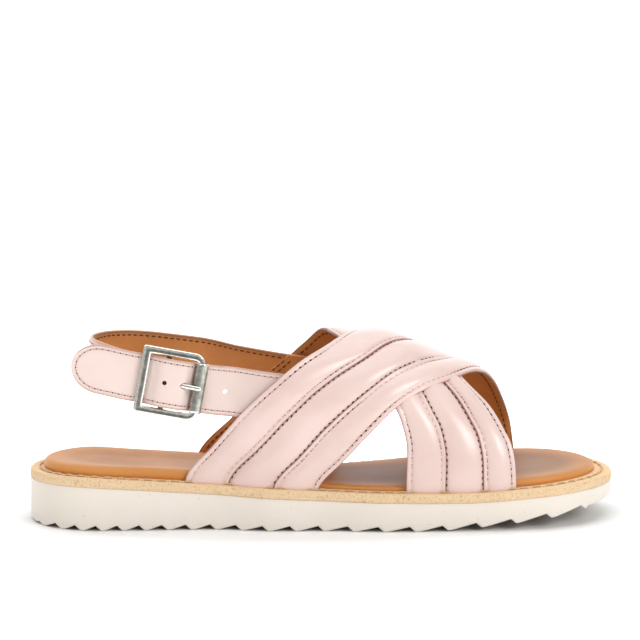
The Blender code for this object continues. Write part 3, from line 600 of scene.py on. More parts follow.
def toothCorners():
    corners = [(0.0, 0.0), (sole["firstNotch"], 0.0)]
    corners += [(sole["firstTooth"] - sole["toothDrop"] / 2, sole["toothDepth"] / 2)]
    x = sole["firstTooth"]
    while x < sole["length"] - sole["toePitch"] - sole["toothDrop"]:
        corners += [(x, 0.0), (x + sole["toothLand"], 0.0)]
        x += sole["heelPitch"] + (sole["toePitch"] - sole["heelPitch"]) * x / sole["length"]
        corners += [(x - sole["toothDrop"], sole["toothDepth"])]
    return corners + [
        (x, 0.0), (x + sole["toothLand"], sole["toeRise"]), (sole["length"], sole["toeRise"] / 2),
    ]


def roundedEnds(start, end, count):
    t = (1 - np.cos(np.linspace(0.03, 1.0, count) * math.pi / 2))
    return start + (end - start) * t


def makeSole():
    corners = np.array(toothCorners())
    along = np.concatenate((
        roundedEnds(0.0, sole["heelRound"], 40),
        np.arange(sole["heelRound"], sole["length"] - sole["toeRound"], sole["step"]),
        roundedEnds(sole["length"], sole["length"] - sole["toeRound"], 46),
        corners[1:, 0], corners[1:, 0] + sole["corner"],
    ))
    along = np.unique(np.round(along, 6))
    along = along[np.concatenate(([True], np.diff(along) > 0.00004))]
    rise = np.interp(along, corners[:, 0], corners[:, 1])
    near, far = edgeY(-1, along) + sole["inset"], edgeY(1, along) - sole["inset"]
    bevel = np.minimum(sole["bevel"], (far - near) / 6)
    low, high = ground(along) + rise, outsoleTop(along)
    quarter = np.linspace(0.0, math.pi / 2, 6)
    rows, edge = [], []
    for k, x in enumerate(along):
        b, width = bevel[k], far[k] - near[k]
        # The lower edge is rounded at heel and toe too
        fade = max(0.0, 1 - x / sole["endBevel"]) - max(0.0, 1 - (sole["length"] - x) / sole["endBevel"])
        half = [
            (near[k] + b * (1 - math.sin(a)), low[k] + b * (1 - math.cos(a)), b * (1 - math.sin(a)))
            for a in quarter
        ]
        half += [(near[k], low[k] + b + (high[k] - low[k] - b) * t, 0.0) for t in (0.25, 0.5, 0.75, 0.93)]
        half += [(near[k] + sole["topRound"], high[k], 0.0)]
        other = [(near[k] + far[k] - y, z, inward) for y, z, inward in half][::-1]
        across = [(near[k] + b + (width - 2 * b) * t, low[k], b) for t in (0.75, 0.5, 0.25)]
        ring = half + other + across
        rows.append([(x + inward * fade, y, z) for y, z, inward in ring])
        # Painted shade on the underside, strongest where it rises into a notch between the teeth
        notch = bump(rise[k], sole["toothDepth"], sole["notchShade"])
        edge.append([0.4 + 0.6 * notch if z < low[k] + 0.00005 else 0.0 for _, z, _ in ring])
    return tubeObject(
        "soleRubber", np.array(rows)[:, ::-1], creamRubber, 32,
        values={"edge": np.array(edge)[:, ::-1]},
    )


# Welt, in rings that follow the sole's outline

def outlineLoop(count):
    turn = np.linspace(0.0, math.pi, 2400)
    x = sole["length"] * (1 - np.cos(turn)) / 2
    near = np.stack((x, edgeY(-1, x), np.zeros_like(x)), axis=1)
    far = np.stack((x, edgeY(1, x), np.zeros_like(x)), axis=1)[::-1]
    loop = resample(np.concatenate((near, far[1:])), count + 1)[:-1]
    ahead = unit(np.roll(loop, -2, axis=0) - np.roll(loop, 2, axis=0))
    return loop, np.stack((-ahead[:, 1], ahead[:, 0], np.zeros(count)), axis=1)


loop, inward = outlineLoop(1100)
welt = {
    "thick": 0.0038, "wobble": 0.00003, "stitchIn": 0.0042, "pitch": 0.0060, "share": 0.80,
    "thread": 0.00060, "hole": 0.00044, "holeLong": 1.1,
}
# How far in from the edge, height as a share of the thickness, how much it is cut side
weltSection = (
    (0.0120, 0.0, 0.0), (0.0004, 0.0, 1.0), (0.0001, 0.05, 1.0), (-0.0001, 0.2, 1.0),
    (-0.00015, 0.4, 1.0), (-0.0001, 0.6, 1.0), (0.0000, 0.78, 1.0), (0.00018, 0.88, 0.9),
    (0.00050, 0.96, 0.6), (0.0010, 1.0, 0.2), (0.0018, 1.01, 0.0), (0.0030, 1.0, 0.0),
    (0.0036, 0.965, 0.0), (0.0042, 0.955, 0.0), (0.0048, 0.97, 0.0), (0.0056, 1.0, 0.0),
    (0.0090, 1.0, 0.0), (0.0120, 1.0, 0.0),
)


def makeWelt():
    low = outsoleTop(loop[:, 0]) + 0.0001
    thick = welt["thick"] + sole["gap"]
    place = np.arange(len(loop))
    wobble = np.sin(place * 0.71) + np.sin(place * 1.93 + 1.0)  # the cut side is a little rough
    rings, edge = [], []
    for inset, share, cut in weltSection:
        at = loop + inward * (inset + wobble * welt["wobble"] * cut * (1 - abs(share - 0.5)))[:, None]
        at[:, 2] = low + thick * share
        rings.append(at)
        edge.append(np.full(len(loop), cut))
    return tubeObject(
        "weltLayer", np.stack(rings, axis=1), weltLeather, along=True,
        values={"edge": np.stack(edge, axis=1)},
    )


def makeWeltStitches():
    line = loop + inward * welt["stitchIn"]
    line[:, 2] = weltTop(loop[:, 0]) - 0.00005
    closed = np.concatenate((line, line[:1]))
    ups = np.tile((0.0, 0.0, 1.0), (len(closed), 1))
    row = stitchRow(closed, ups, welt["pitch"], welt["share"], 0.0)
    sewThreads("weltStitches", row, welt["thread"], creamThread, 8, 9)
    needleHoles("weltHoles", row, welt["hole"], welt["holeLong"])


# Footbed

footbed = {"thick": 0.0047, "dish": 0.0014, "inset": 0.0062, "corner": 0.0034}
padRows = ((0.00, 0.94), (0.15, 0.96), (0.30, 1.00), (0.54, 0.42), (0.65, 0.48), (0.85, 0.78), (1.00, 0.78))
padPart = smoothTable(padRows, 1)
# The rolled edge: how far in, share of the thickness
padEdge = (
    (0.0006, 0.0), (0.00015, 0.16), (0.0, 0.34), (0.0001, 0.52), (0.0004, 0.70), (0.0009, 0.85),
    (0.0016, 0.94), (0.0025, 0.985), (0.0034, 1.0),
)


def padInset(x):
    besideStraps = upper["inset"] + upper["wall"] + upper["clearance"]
    share = smoothStep(0.1, 0.22, x / sole["length"])
    return footbed["inset"] + (besideStraps - footbed["inset"]) * share


def makeFootbed():
    count = len(loop)
    base = loop + inward * padInset(loop[:, 0])[:, None]
    opposite = base[(-np.arange(count)) % count]
    x = np.clip((base[:, 0] + opposite[:, 0]) / 2, sole["heelRound"], sole["length"] - sole["toeRound"])
    spine = np.stack((x, (halfWidth(1, x) - halfWidth(-1, x)) / 2, np.zeros(count)), axis=1)
    rings, edge = [], []

    def addRing(at, share, tone):
        at[:, 2] = weltTop(at[:, 0]) + footbed["thick"] * padPart(at[:, 0] / sole["length"]) * share
        rings.append(at)
        edge.append(np.full(count, tone))

    for step, share in padEdge:
        addRing(base + unit(spine - base) * step, share, 1 - 0.4 * smoothStep(0.6, 1.0, share))
    for share in np.linspace(0.04, 1.0, 26):
        at = base + unit(spine - base) * footbed["corner"]
        dish = footbed["dish"] / footbed["thick"] * smoothStep(0.0, 0.62, share)
        addRing(at + (spine - at) * share, 1 - dish, 0.6 * (1 - smoothStep(0.0, 0.42, share)))
    grid = np.stack(rings, axis=1)
    pad = makeObject(
        "footbedPad", grid.reshape(-1, 3), gridFaces(*grid.shape[:2], along=True), footbedLeather,
        values={"edge": np.stack(edge, axis=1)},
    )
    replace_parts(pad, "insole")


# The last and the straps over it

upper = {
    "wall": 0.0026, "inset": 0.0045, "clearance": 0.0007, "lift": 0.0016, "instep": 0.0805, "sunk": 0.0006,
}
# The last: along, ridge height, fullness, ridge offset
lastRows = (
    (0.20, 1.24, 3.0, 0.00),
    (0.36, 1.14, 2.9, 0.02),
    (0.46, 1.07, 2.7, 0.04),
    (0.55, 1.00, 2.5, 0.06),
    (0.60, 0.985, 2.4, 0.08),
    (0.71, 0.845, 2.3, 0.10),
    (0.76, 0.785, 2.2, 0.12),
    (0.80, 0.71, 2.2, 0.12),
    (0.86, 0.57, 2.2, 0.12),
    (1.00, 0.30, 2.2, 0.10),
)
# Straps: place round the last, rear edge, front edge, first seam, second seam
overRows = (
    (-1.00, 0.261, 0.485, 0.335, 0.665),
    (-0.93, 0.308, 0.522, 0.335, 0.665),
    (-0.80, 0.358, 0.566, 0.335, 0.665),
    (-0.65, 0.405, 0.612, 0.335, 0.670),
    (-0.50, 0.446, 0.660, 0.345, 0.680),
    (-0.30, 0.498, 0.717, 0.375, 0.700),
    (0.00, 0.550, 0.772, 0.420, 0.740),
    (0.25, 0.598, 0.802, 0.420, 0.740),
    (0.42, 0.628, 0.818, 0.400, 0.720),
    (0.60, 0.650, 0.834, 0.370, 0.700),
    (0.78, 0.664, 0.846, 0.350, 0.680),
    (1.00, 0.672, 0.853, 0.335, 0.665),
)
underRows = (
    (-1.00, 0.630, 0.816, 0.355, 0.700),
    (-0.84, 0.632, 0.814, 0.355, 0.700),
    (-0.70, 0.622, 0.808, 0.355, 0.700),
    (-0.60, 0.606, 0.797, 0.350, 0.695),
    (-0.45, 0.580, 0.776, 0.350, 0.690),
    (-0.30, 0.554, 0.742, 0.345, 0.680),
    (0.00, 0.508, 0.700, 0.335, 0.670),
    (0.34, 0.478, 0.665, 0.335, 0.665),
    (0.53, 0.446, 0.628, 0.335, 0.665),
    (0.75, 0.398, 0.575, 0.335, 0.665),
    (0.90, 0.345, 0.545, 0.335, 0.665),
    (1.00, 0.285, 0.522, 0.335, 0.665),
)
lastParts = [smoothTable(lastRows, column) for column in range(1, 4)]


def lastSection(x):
    ridge, fullness, offset = (part(np.asarray(x, float) / sole["length"]) for part in lastParts)
    inset = upper["inset"] + upper["wall"]
    base = weltTop(x) + sole["gap"]
    near, far = edgeY(-1, x) + inset, edgeY(1, x) - inset
    return base, ridge * upper["instep"], near, far, offset * sole["heelWidth"] / 2, fullness


def lastPoint(x, place):
    base, top, near, far, offset, fullness = lastSection(x)
    turn = np.abs(place) * math.pi / 2
    side = np.where(place < 0, near, far)
    out = np.maximum(np.sin(turn), 0.0) ** (2 / fullness)
    up = np.maximum(np.cos(turn), 0.0) ** (2 / fullness)
    return np.stack((x + 0 * up, offset * (1 - out) + side * out, base + (top - base) * up), axis=-1)


def lastSide(x, z, side):
    base, top, near, far, offset, fullness = lastSection(x)
    up = np.clip((z - base) / (top - base), 0.0, 0.98)
    out = (1 - up**fullness) ** (1 / fullness)
    return offset * (1 - out) + (near if side < 0 else far) * out


def lastNormal(x, place):
    along = lastPoint(x + 0.0008, place) - lastPoint(x - 0.0008, place)
    low, high = np.maximum(place - 0.004, -1.0), np.minimum(place + 0.004, 1.0)
    return unit(np.cross(along, lastPoint(x, high) - lastPoint(x, low)))


# One strap: even rows round the last, and its points at a share across and a height
class Strap:
    def __init__(self, rows, lift, spacing=0.0006):
        rear, front = smoothTable(rows, 1), smoothTable(rows, 2)
        fine = np.linspace(-1.0, 1.0, 3000)
        gone = lengthsAlong(lastPoint((rear(fine) + front(fine)) / 2 * sole["length"], fine))
        self.count = int(gone[-1] / spacing)
        self.gone = np.linspace(0.0, gone[-1], self.count)
        self.place = np.interp(self.gone, gone, fine)
        self.rear, self.front = rear(self.place) * sole["length"], front(self.place) * sole["length"]
        self.one, self.two = smoothTable(rows, 3)(self.place), smoothTable(rows, 4)(self.place)
        self.raised = lift * (1 - smoothStep(0.66, 0.86, np.abs(self.place)))
        centre = (self.rear + self.front) / 2
        ahead = unit(np.gradient(lastPoint(centre, self.place), axis=0))
        across = unit(lastPoint(centre + 0.001, self.place) - lastPoint(centre - 0.001, self.place))
        self.width = (self.front - self.rear) * np.linalg.norm(np.cross(ahead, across), axis=1)

    def points(self, across, height):
        x = self.rear[:, None] + (self.front - self.rear)[:, None] * across
        place = np.broadcast_to(self.place[:, None], x.shape)
        at = lastPoint(x, place) + lastNormal(x, place) * (height + self.raised[:, None])[..., None]
        for end in (0, -1):
            at[end, :, 2] = weltTop(at[end, :, 0]) - upper["sunk"]
        return at

    def normals(self, across):
        x = self.rear[:, None] + (self.front - self.rear)[:, None] * across
        return lastNormal(x, np.broadcast_to(self.place[:, None], x.shape))


# Heights above the last, distances in from an edge, and sizes of the stitches
panel = {
    "lining": 0.0010, "top": 0.0024, "lipTop": 0.0030, "middleLevel": 0.0019, "edgeRound": 0.0010,
    "lipRound": 0.0006, "edgeStitch": 0.0023, "lipStitch": 0.0019, "dome": 0.0013, "middleDome": 0.0019,
    "under": 0.0022, "inside": 0.0007, "holeRow": 0.0007, "pitch": 0.0030, "seamPitch": 0.00279,
    "share": 0.52, "liningShare": 0.70, "thread": 0.00027, "liningThread": 0.00030,
    "hole": 0.00056, "holeLong": 1.3, "seamHole": 0.00050, "seamHoleLong": 1.4,
    "sink": 0.00026, "lipSink": 0.00034, "pucker": 0.00018, "edgeShade": 0.0004, "creaseShade": 0.0006,
    "creaseHalf": 0.0012, "swellFrom": 0.003, "liningIn": 0.0002,
}
edgeSteps = np.array((
    0.0, 0.00005, 0.00018, 0.00036, 0.0006, 0.0009, 0.0013, 0.0017, 0.0020, 0.0023, 0.0026, 0.0030, 0.0035,
))
liningSteps = np.array((0.0, 0.012, 0.03, 0.1, 0.2, 0.35, 0.5, 0.65, 0.8, 0.9, 0.97, 0.988, 1.0))
slackAt = {"rear": 0.0, "middle": 0.5, "front": 0.7}


# Top of an outer panel at a distance from its free edge and from its lapped edge
def outerHeight(free, lap, gone):
    width = free + lap
    t = np.clip((free - panel["edgeStitch"]) / (width - panel["edgeStitch"] - panel["lipStitch"]), 0.0, 1.0)
    level = panel["top"] + (panel["lipTop"] - panel["top"]) * smoothStep(0.003, 0.0, lap)
    rollFree = np.clip(1 - free / panel["edgeRound"], 0.0, 1.0)
    rollLap = np.clip(1 - lap / panel["lipRound"], 0.0, 1.0)
    height = level + (4 * t * (1 - t)) ** 0.7 * panel["dome"]
    height -= panel["edgeRound"] * (1 - np.sqrt(1 - rollFree**2))
    height -= panel["lipRound"] * (1 - np.sqrt(1 - rollLap**2)) * 1.3
    pull = 0.72 + 0.28 * np.cos(2 * math.pi * gone / panel["pitch"])
    height -= panel["sink"] * bump(free, panel["edgeStitch"], 0.0011) * pull
    height -= panel["lipSink"] * bump(lap, panel["lipStitch"], 0.0009) * pull
    return height


# Top of the middle panel at a distance from each lip, negative under it
def middleHeight(first, second, gone):
    width = np.maximum(first + second, 1e-6)
    t = np.clip((first - 0.0004) / (width - 0.0008), 0.0, 1.0)
    dome = (4 * t * (1 - t)) ** 0.62 * panel["middleDome"]
    pull = 0.5 + 0.5 * np.cos(2 * math.pi * gone / panel["pitch"])
    crease = sum(bump(part, panel["creaseShade"], panel["creaseHalf"]) for part in (first, second))
    return panel["middleLevel"] + dome - panel["pucker"] * crease * pull


# Soft, uneven swelling of the padding along a strap
def slack(strap, at):
    gone = strap.gone[:, None]
    return (
        0.00010 * np.sin(gone / 0.0135 + at * 3.1) + 0.00008 * np.sin(gone / 0.0071 + 1.7 - at * 5.0)
        + 0.00005 * np.sin(gone / 0.0043 + at * 9.0 + 0.6)
    )


def panelMesh(strap, name, kind):
    one, two, gone = strap.one, strap.two, strap.gone[:, None]
    start, end = {"rear": (0.0 * one, one), "middle": (one, two), "front": (two, 1.0 + 0.0 * two)}[kind]
    size = ((end - start) * strap.width)[:, None]
    steps = edgeSteps
    if kind == "middle":  # it runs on under both lips
        steps = np.concatenate(([-panel["under"], -panel["under"] / 2], edgeSteps))
    inner = np.linspace(0.0, 1.0, 20)[None, 1:-1]
    columns = np.concatenate((
        np.tile(steps, (strap.count, 1)), edgeSteps[-1] + inner * (size - 2 * edgeSteps[-1]),
        size - steps[::-1],
    ), axis=1)
    other = size - columns
    if kind == "middle":
        height = middleHeight(columns, other, gone)
        height = np.where((columns < 0) | (other < 0), panel["middleLevel"], height)
        # Painted shade in the creases where the middle panel runs under each lip
        edge = np.clip(1 - np.minimum(np.abs(columns), np.abs(other)) / panel["creaseShade"], 0, 1)
    else:
        free, lap = (columns, other) if kind == "rear" else (other, columns)
        height = outerHeight(free, lap, gone)
        # Painted shade along the free edge and, weaker, along the lip; the rim below gives the cut side
        # walls their own darker tone
        freeShade, lapShade = (np.clip(1 - part / panel["edgeShade"], 0, 1) for part in (free, lap))
        edge = np.maximum(freeShade, 0.8 * lapShade)
    height += slack(strap, slackAt[kind]) * np.clip(np.minimum(columns, other) / panel["swellFrom"], 0, 1)
    across = start[:, None] + columns / strap.width[:, None]
    # The underside closes the shell
    inside = panel["inside"] / strap.width[:, None]
    floor = np.full((strap.count, 1), panel["lining"] - 0.0001)
    across = np.concatenate(
        (across, across[:, -1:], across[:, -1:] - inside, across[:, :1] + inside, across[:, :1]), axis=1
    )
    height = np.concatenate((height, floor + 0.0002, floor, floor, floor + 0.0002), axis=1)
    rim = np.full((strap.count, 1), float(kind != "middle"))
    edge = np.concatenate((edge, rim, 0 * rim, 0 * rim, rim), axis=1)
    obj = tubeObject(
        name, strap.points(across, height), pinkLeather, 60, values={"edge": edge}
    )
    return obj


def liningMesh(strap, name):
    inset = panel["liningIn"] / strap.width[:, None]
    across = inset + liningSteps[None, :] * (1 - 2 * inset)
    top = np.full(across.shape, panel["lining"])
    bottom = np.full(across.shape, 0.0001)
    bottom[:, (0, -1)] = 0.0004
    edge = np.broadcast_to(np.where(np.abs(liningSteps - 0.5) > 0.49, 1.0, 0.0), across.shape)
    across = np.concatenate((across, across[:, ::-1]), axis=1)
    edge = np.concatenate((edge, edge[:, ::-1]), axis=1)
    points = strap.points(across, np.concatenate((top, bottom), axis=1))
    tubeObject(name, points, tanLining, 60, values={"edge": edge})


# Stitches along a strap, at a distance from a share of its width
def strapRow(strap, distance, start, height, pitch, share, trim=2, facing=1):
    across = (start + distance / strap.width)[:, None]
    line, ups = strap.points(across, height)[:, 0], strap.normals(across)[:, 0] * facing
    return stitchRow(line[trim:-trim], ups[trim:-trim], pitch, share)


def strapSeams(strap):
    one, two, gone = strap.one, strap.two, strap.gone[:, None]
    rear, middle, front = (
        (share * strap.width)[:, None] for share in (one, two - one, 1 - two)
    )
    edgeIn, lipIn, holeIn = panel["edgeStitch"], panel["lipStitch"], panel["holeRow"]
    # Distance, from where, then the distances from the free and from the lapped edge
    lines = (
        (edgeIn, 0.0, edgeIn + 0 * rear, rear - edgeIn), (-lipIn, one, rear - lipIn, lipIn + 0 * rear),
        (lipIn, two, front - lipIn, lipIn + 0 * front), (-edgeIn, 1.0, edgeIn + 0 * front, front - edgeIn),
    )
    outer = [
        strapRow(strap, distance, start, outerHeight(free, lap, gone), panel["pitch"], panel["share"])
        for distance, start, free, lap in lines
    ]
    low = middleHeight(holeIn + 0 * middle, middle - holeIn, gone)
    seams = [
        strapRow(strap, distance, start, low, panel["seamPitch"], 0.6)
        for distance, start in ((holeIn, one), (-holeIn, two))
    ]
    inner = [
        strapRow(strap, distance, start, 0 * gone - 0.00005, panel["pitch"], panel["liningShare"], 4, -1)
        for distance, start in ((edgeIn, 0.0), (-edgeIn, 1.0))
    ]
    return joinRows(outer), joinRows(seams), joinRows(inner)


def makeStraps():
    panels = []
    for name, strap in (("under", Strap(underRows, 0.0)), ("over", Strap(overRows, upper["lift"]))):
        panels += [panelMesh(strap, f"{name}Strap_{kind}", kind) for kind in ("rear", "middle", "front")]
        liningMesh(strap, f"{name}Strap_lining")
        outer, seams, inner = strapSeams(strap)
        sewThreads(f"{name}Strap_stitches", outer, panel["thread"], pinkThread)
        needleHoles(f"{name}Strap_holes", outer, panel["hole"], panel["holeLong"])
        needleHoles(f"{name}Strap_seamHoles", seams, panel["seamHole"], panel["seamHoleLong"])
        sewThreads(f"{name}Strap_liningStitches", inner, panel["liningThread"], brownThread)
    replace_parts(panels[0], "upper")


# Sling, tab and buckle

sling = {
    "width": 0.0225, "endWidth": 0.0210, "thick": 0.0022, "half": 0.0270, "height": 0.0715,
    "lean": math.radians(5), "round": 0.0005, "puff": 0.00022, "stitchIn": 0.0021, "pitch": 0.0029,
    "thread": 0.00027, "liningThread": 0.00030, "hole": 0.00042, "share": 0.74, "liningShare": 0.68,
    "threadOut": 0.00018, "liningIn": 0.00035, "loopIn": 0.0002, "loopRoot": 0.0020,
}
tab = {
    "width": 0.0218, "thick": 0.0019, "tail": 0.0420, "spread": 0.0012, "bend": 0.0018,
    "front": 0.0520, "pressStart": 0.0780, "pressEnd": 0.0960, "lap": 0.0004, "tipLength": 1.2,
    "round": 0.00045, "hole": 0.0010, "pitch": 0.0092, "holes": (-0.04, 2.96), "holeSink": 0.0007,
    "prongRoom": 0.00035, "stitchIn": 0.0020, "stitch": 0.0027, "thread": 0.00026, "needle": 0.00030,
    "share": 0.72, "needleLong": 1.3, "liningIn": 0.00025, "edgeShade": 0.8,
}
buckle = {
    "x": 0.0606, "z": 0.0665, "y": 0.0309, "tilt": math.radians(10.8), "lean": math.radians(4),
    "height": 0.0299, "rear": 0.0119, "front": 0.0151, "thick": 0.0026, "bar": 0.0036, "rail": 0.0032,
    "frontBar": 0.0022, "corner": 0.0050, "rearCorner": 0.0010, "centreBar": 0.0012, "roller": 0.00275,
    "rollerLength": 0.0222, "bore": 0.0018, "prong": 0.0011, "prongOver": 0.0012, "loop": 0.0011,
    "notch": 0.0060, "seamAt": math.radians(205), "seamDepth": 0.05, "taper": 0.12, "hookGap": 0.0006,
}

# The buckle's directions: along the strap towards the toe, across it upwards, and outwards
aheadDir = np.array((math.cos(buckle["tilt"]), 0, -math.sin(buckle["tilt"])))
acrossDir = np.array((
    math.sin(buckle["tilt"]) * math.cos(buckle["lean"]),
    math.sin(buckle["lean"]),
    math.cos(buckle["tilt"]) * math.cos(buckle["lean"]),
))
outDir = np.cross(aheadDir, acrossDir)
restOut = sling["thick"] / 2 + sole["gap"] + tab["thick"] / 2
frameOut = restOut + tab["thick"] / 2 + sole["gap"] + buckle["thick"] / 2
barOut = frameOut - buckle["thick"] / 2 - buckle["centreBar"] * 0.6
hookRadius = buckle["centreBar"] + sole["gap"] + buckle["prong"] - 0.0001
overBarOut = barOut + hookRadius + buckle["prong"] + sole["gap"] + tab["thick"] / 2
underRollerOut = frameOut - buckle["roller"] - sole["gap"] - tab["thick"] / 2
prongTipOut = frameOut + buckle["roller"] + sole["gap"] + buckle["prong"]
buckleMiddle = np.array((buckle["x"], -buckle["y"], buckle["z"])) - outDir * barOut


def atBuckle(along, across, out):
    along, across, out = (np.asarray(part, float)[..., None] for part in (along, across, out))
    return buckleMiddle + along * aheadDir + across * acrossDir + out * outDir


prongStart = atBuckle(buckle["prongOver"], 0, barOut + hookRadius)
prongEnd = atBuckle(buckle["front"] + buckle["prongOver"], 0, prongTipOut)


def smoothRoute(points, count):
    points = np.asarray(points, float)
    padded = np.concatenate(([2 * points[0] - points[1]], points, [2 * points[-1] - points[-2]]))
    fine = []
    for k in range(len(points) - 1):
        p0, p1, p2, p3 = padded[k : k + 4]
        for t in np.arange(24) / 24:
            bend = (2 * p0 - 5 * p1 + 4 * p2 - p3) * t * t + (3 * p1 - p0 - 3 * p2 + p3) * t**3
            fine.append((2 * p1 + (p2 - p0) * t + bend) / 2)
    fine.append(points[-1])
    return resample(fine, count)


# Leads a strap's end in just under the wall of the upper that laps over it
def pressed(points, depth):
    side = np.where(points[..., 1] < 0, -1.0, 1.0)
    near = np.abs(lastSide(points[..., 0], points[..., 2], -1))
    far = np.abs(lastSide(points[..., 0], points[..., 2], 1))
    limit = np.where(side < 0, near, far) - tab["lap"] - depth
    share = smoothStep(tab["pressStart"], tab["pressEnd"], points[..., 0])
    moved = points.copy()
    moved[..., 1] += (side * limit - points[..., 1]) * share
    return moved


# Closed section of a flat band with rounded edges, as rows of across, out and edge
def bandSection(half, low, high, roundness, columns=22):
    middle = (low + high) / 2
    tall = (high - low) / 2
    turn = np.linspace(-math.pi / 2, math.pi / 2, 7)
    corner = np.stack((np.cos(turn) * roundness, np.sin(turn) * tall), axis=1)
    flat = np.linspace(half - roundness, -half + roundness, columns)[1:-1]
    right = [(half - roundness + c, middle + s, 1.0) for c, s in corner]
    top = [(a, high, 0.0) for a in flat]
    left = [(-half + roundness - c, middle + s, 1.0) for c, s in corner[::-1]]
    bottom = [(a, low, 0.0) for a in flat[::-1]]
    return np.array(right + top + left + bottom)


# Sling route: along, side, height
slingRows = (
    (0.485, 1.000, 0.820),
    (0.420, 1.010, 0.855),
    (0.350, 1.030, 0.900),
    (0.270, 1.020, 0.945),
    (0.190, 0.930, 0.985),
    (0.140, 0.680, 1.000),
    (0.114, 0.330, 1.003),
    (0.108, 0.000, 1.003),
    (0.112, -0.330, 1.000),
    (0.130, -0.690, 0.992),
    (0.148, -0.895, 0.980),
)
slingBesideBuckle = (-0.0125, -0.0085, -0.0048)


def slingFrame():
    rows = [
        (along * sole["length"], side * sling["half"], height * sling["height"])
        for along, side, height in slingRows
    ]
    rows += [tuple(atBuckle(along, 0, 0)) for along in slingBesideBuckle]
    route = smoothRoute(rows, 420)
    ahead = unit(np.gradient(route, axis=0))
    outward = unit(np.cross(ahead, np.array((0.0, 0.0, 1.0))))
    up = unit(np.cross(outward, ahead))
    share = np.linspace(0.0, 1.0, len(route))
    nearEnd = smoothStep(0.80, 0.97, share)[:, None]
    sideShare = np.minimum(np.abs(route[:, 1]) / sling["half"], 1.0)[:, None]
    up = unit(up - outward * math.tan(sling["lean"]) * sideShare)
    up = unit(up * (1 - nearEnd) + acrossDir * nearEnd)
    outward = unit(outward * (1 - nearEnd) + outDir * nearEnd)
    half = (sling["width"] + (sling["endWidth"] - sling["width"]) * nearEnd[:, 0]) / 2
    return route, outward, up, half


# across is in shares of the half width, out in metres
def slingPoints(route, outward, up, half, across, out):
    out = np.broadcast_to(out, (len(route), np.shape(out)[-1]))
    at = route[:, None] + up[:, None] * (across * half[:, None])[..., None]
    at = at + outward[:, None] * out[..., None]
    inner = (at[..., 0] > tab["pressStart"]) & (at[..., 1] > 0)
    moved = pressed(at, sling["thick"] / 2 - np.broadcast_to(out, at.shape[:2]))
    return np.where(inner[..., None], moved, at)


def makeSling():
    route, outward, up, half = slingFrame()
    thick = sling["thick"]
    made = []
    for name, low, high, inset, look, facing in (
        ("slingLeather", -0.0001, thick / 2, 0.0, slingLeatherLook, 1),
        ("slingLining", -thick / 2, 0.0001, sling["liningIn"], tanLining, -1),
    ):
        across = np.stack([bandSection(h - inset, low, high, sling["round"])[:, 0] / h for h in half])
        section = bandSection(half[0] - inset, low, high, sling["round"])
        out, edge = (np.tile(column, (len(route), 1)) for column in (section[:, 1], section[:, 2] * 0.9))
        puff = sling["puff"] * (1 - np.clip(np.abs(across), 0, 1) ** 6) * facing
        face = out > high - 1e-6 if facing > 0 else out < low + 1e-6
        grid = slingPoints(route, outward, up, half, across, out + np.where(face, puff, 0.0))
        made.append(tubeObject(name, grid, look, 60, values={"edge": edge}))
    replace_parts(made[0], "heel_strap")

    def edgeRows(facing, share):
        rows = []
        for side in (-1, 1):
            across = side * (1 - sling["stitchIn"] / half[:, None])
            out = np.full((1, 1), facing * (thick / 2 + sling["threadOut"]))
            line = slingPoints(route, outward, up, half, across, out)[:, 0]
            rows.append(stitchRow(line[3:-3], facing * outward[3:-3], sling["pitch"], share))
        return joinRows(rows)

    outer = edgeRows(1, sling["share"])
    sewThreads("slingStitches", outer, sling["thread"], pinkThread)
    needleHoles("slingHoles", outer, sling["hole"])
    inner = edgeRows(-1, sling["liningShare"])
    sewThreads("slingLiningStitches", inner, sling["liningThread"], brownThread)
    makeLoop()
    makeSlingCover(route, outward, up, half)


slingCover = {
    "top": 0.0125, "slope": 0.0095, "thick": 0.0008, "stitches": (0.0011, 0.0040), "pitch": 0.0028,
    "reach": 0.97, "stitchReach": 0.93, "share": 0.7,
}


# The upper's lining laps over the inner end of the sling, with a slanted, twice stitched edge
def makeSlingCover(route, outward, up, half):
    gone = lengthsAlong(route)

    def at(along, share, out):
        places = (readAlong(along, gone, part) for part in (route, outward, up))
        return slingPoints(*places, np.interp(along, gone, half), share[:, None], out[:, None])[:, 0]

    steps = np.linspace(0.0, 1.0, 48)
    inside = -sling["thick"] / 2
    rolled = np.clip((steps - 0.96) / 0.04, 0.0, 1.0)
    face = inside - slingCover["thick"] * np.sqrt(1 - rolled**2)
    rows = []
    for share in np.linspace(-slingCover["reach"], slingCover["reach"], 44):
        reach = slingCover["top"] + slingCover["slope"] * (1 - share)
        ring = np.concatenate((steps, steps[::-1])) * reach
        out = np.concatenate((face, np.full(len(steps), inside + 0.0002)))
        rows.append(at(ring, np.full(len(ring), share), out))
    tubeObject("slingCover", np.stack(rows), tanLining, 60)
    stitches = []
    share = np.linspace(-slingCover["stitchReach"], slingCover["stitchReach"], 120)
    for inset in slingCover["stitches"]:
        along = slingCover["top"] + slingCover["slope"] * (1 - share) - inset
        line = at(along, share, np.full(len(share), inside - slingCover["thick"] - 0.0001))
        ups = -readAlong(along, gone, outward)
        stitches.append(stitchRow(line, ups, slingCover["pitch"], slingCover["share"]))
    sewThreads("slingCoverStitches", joinRows(stitches), sling["liningThread"], brownThread)


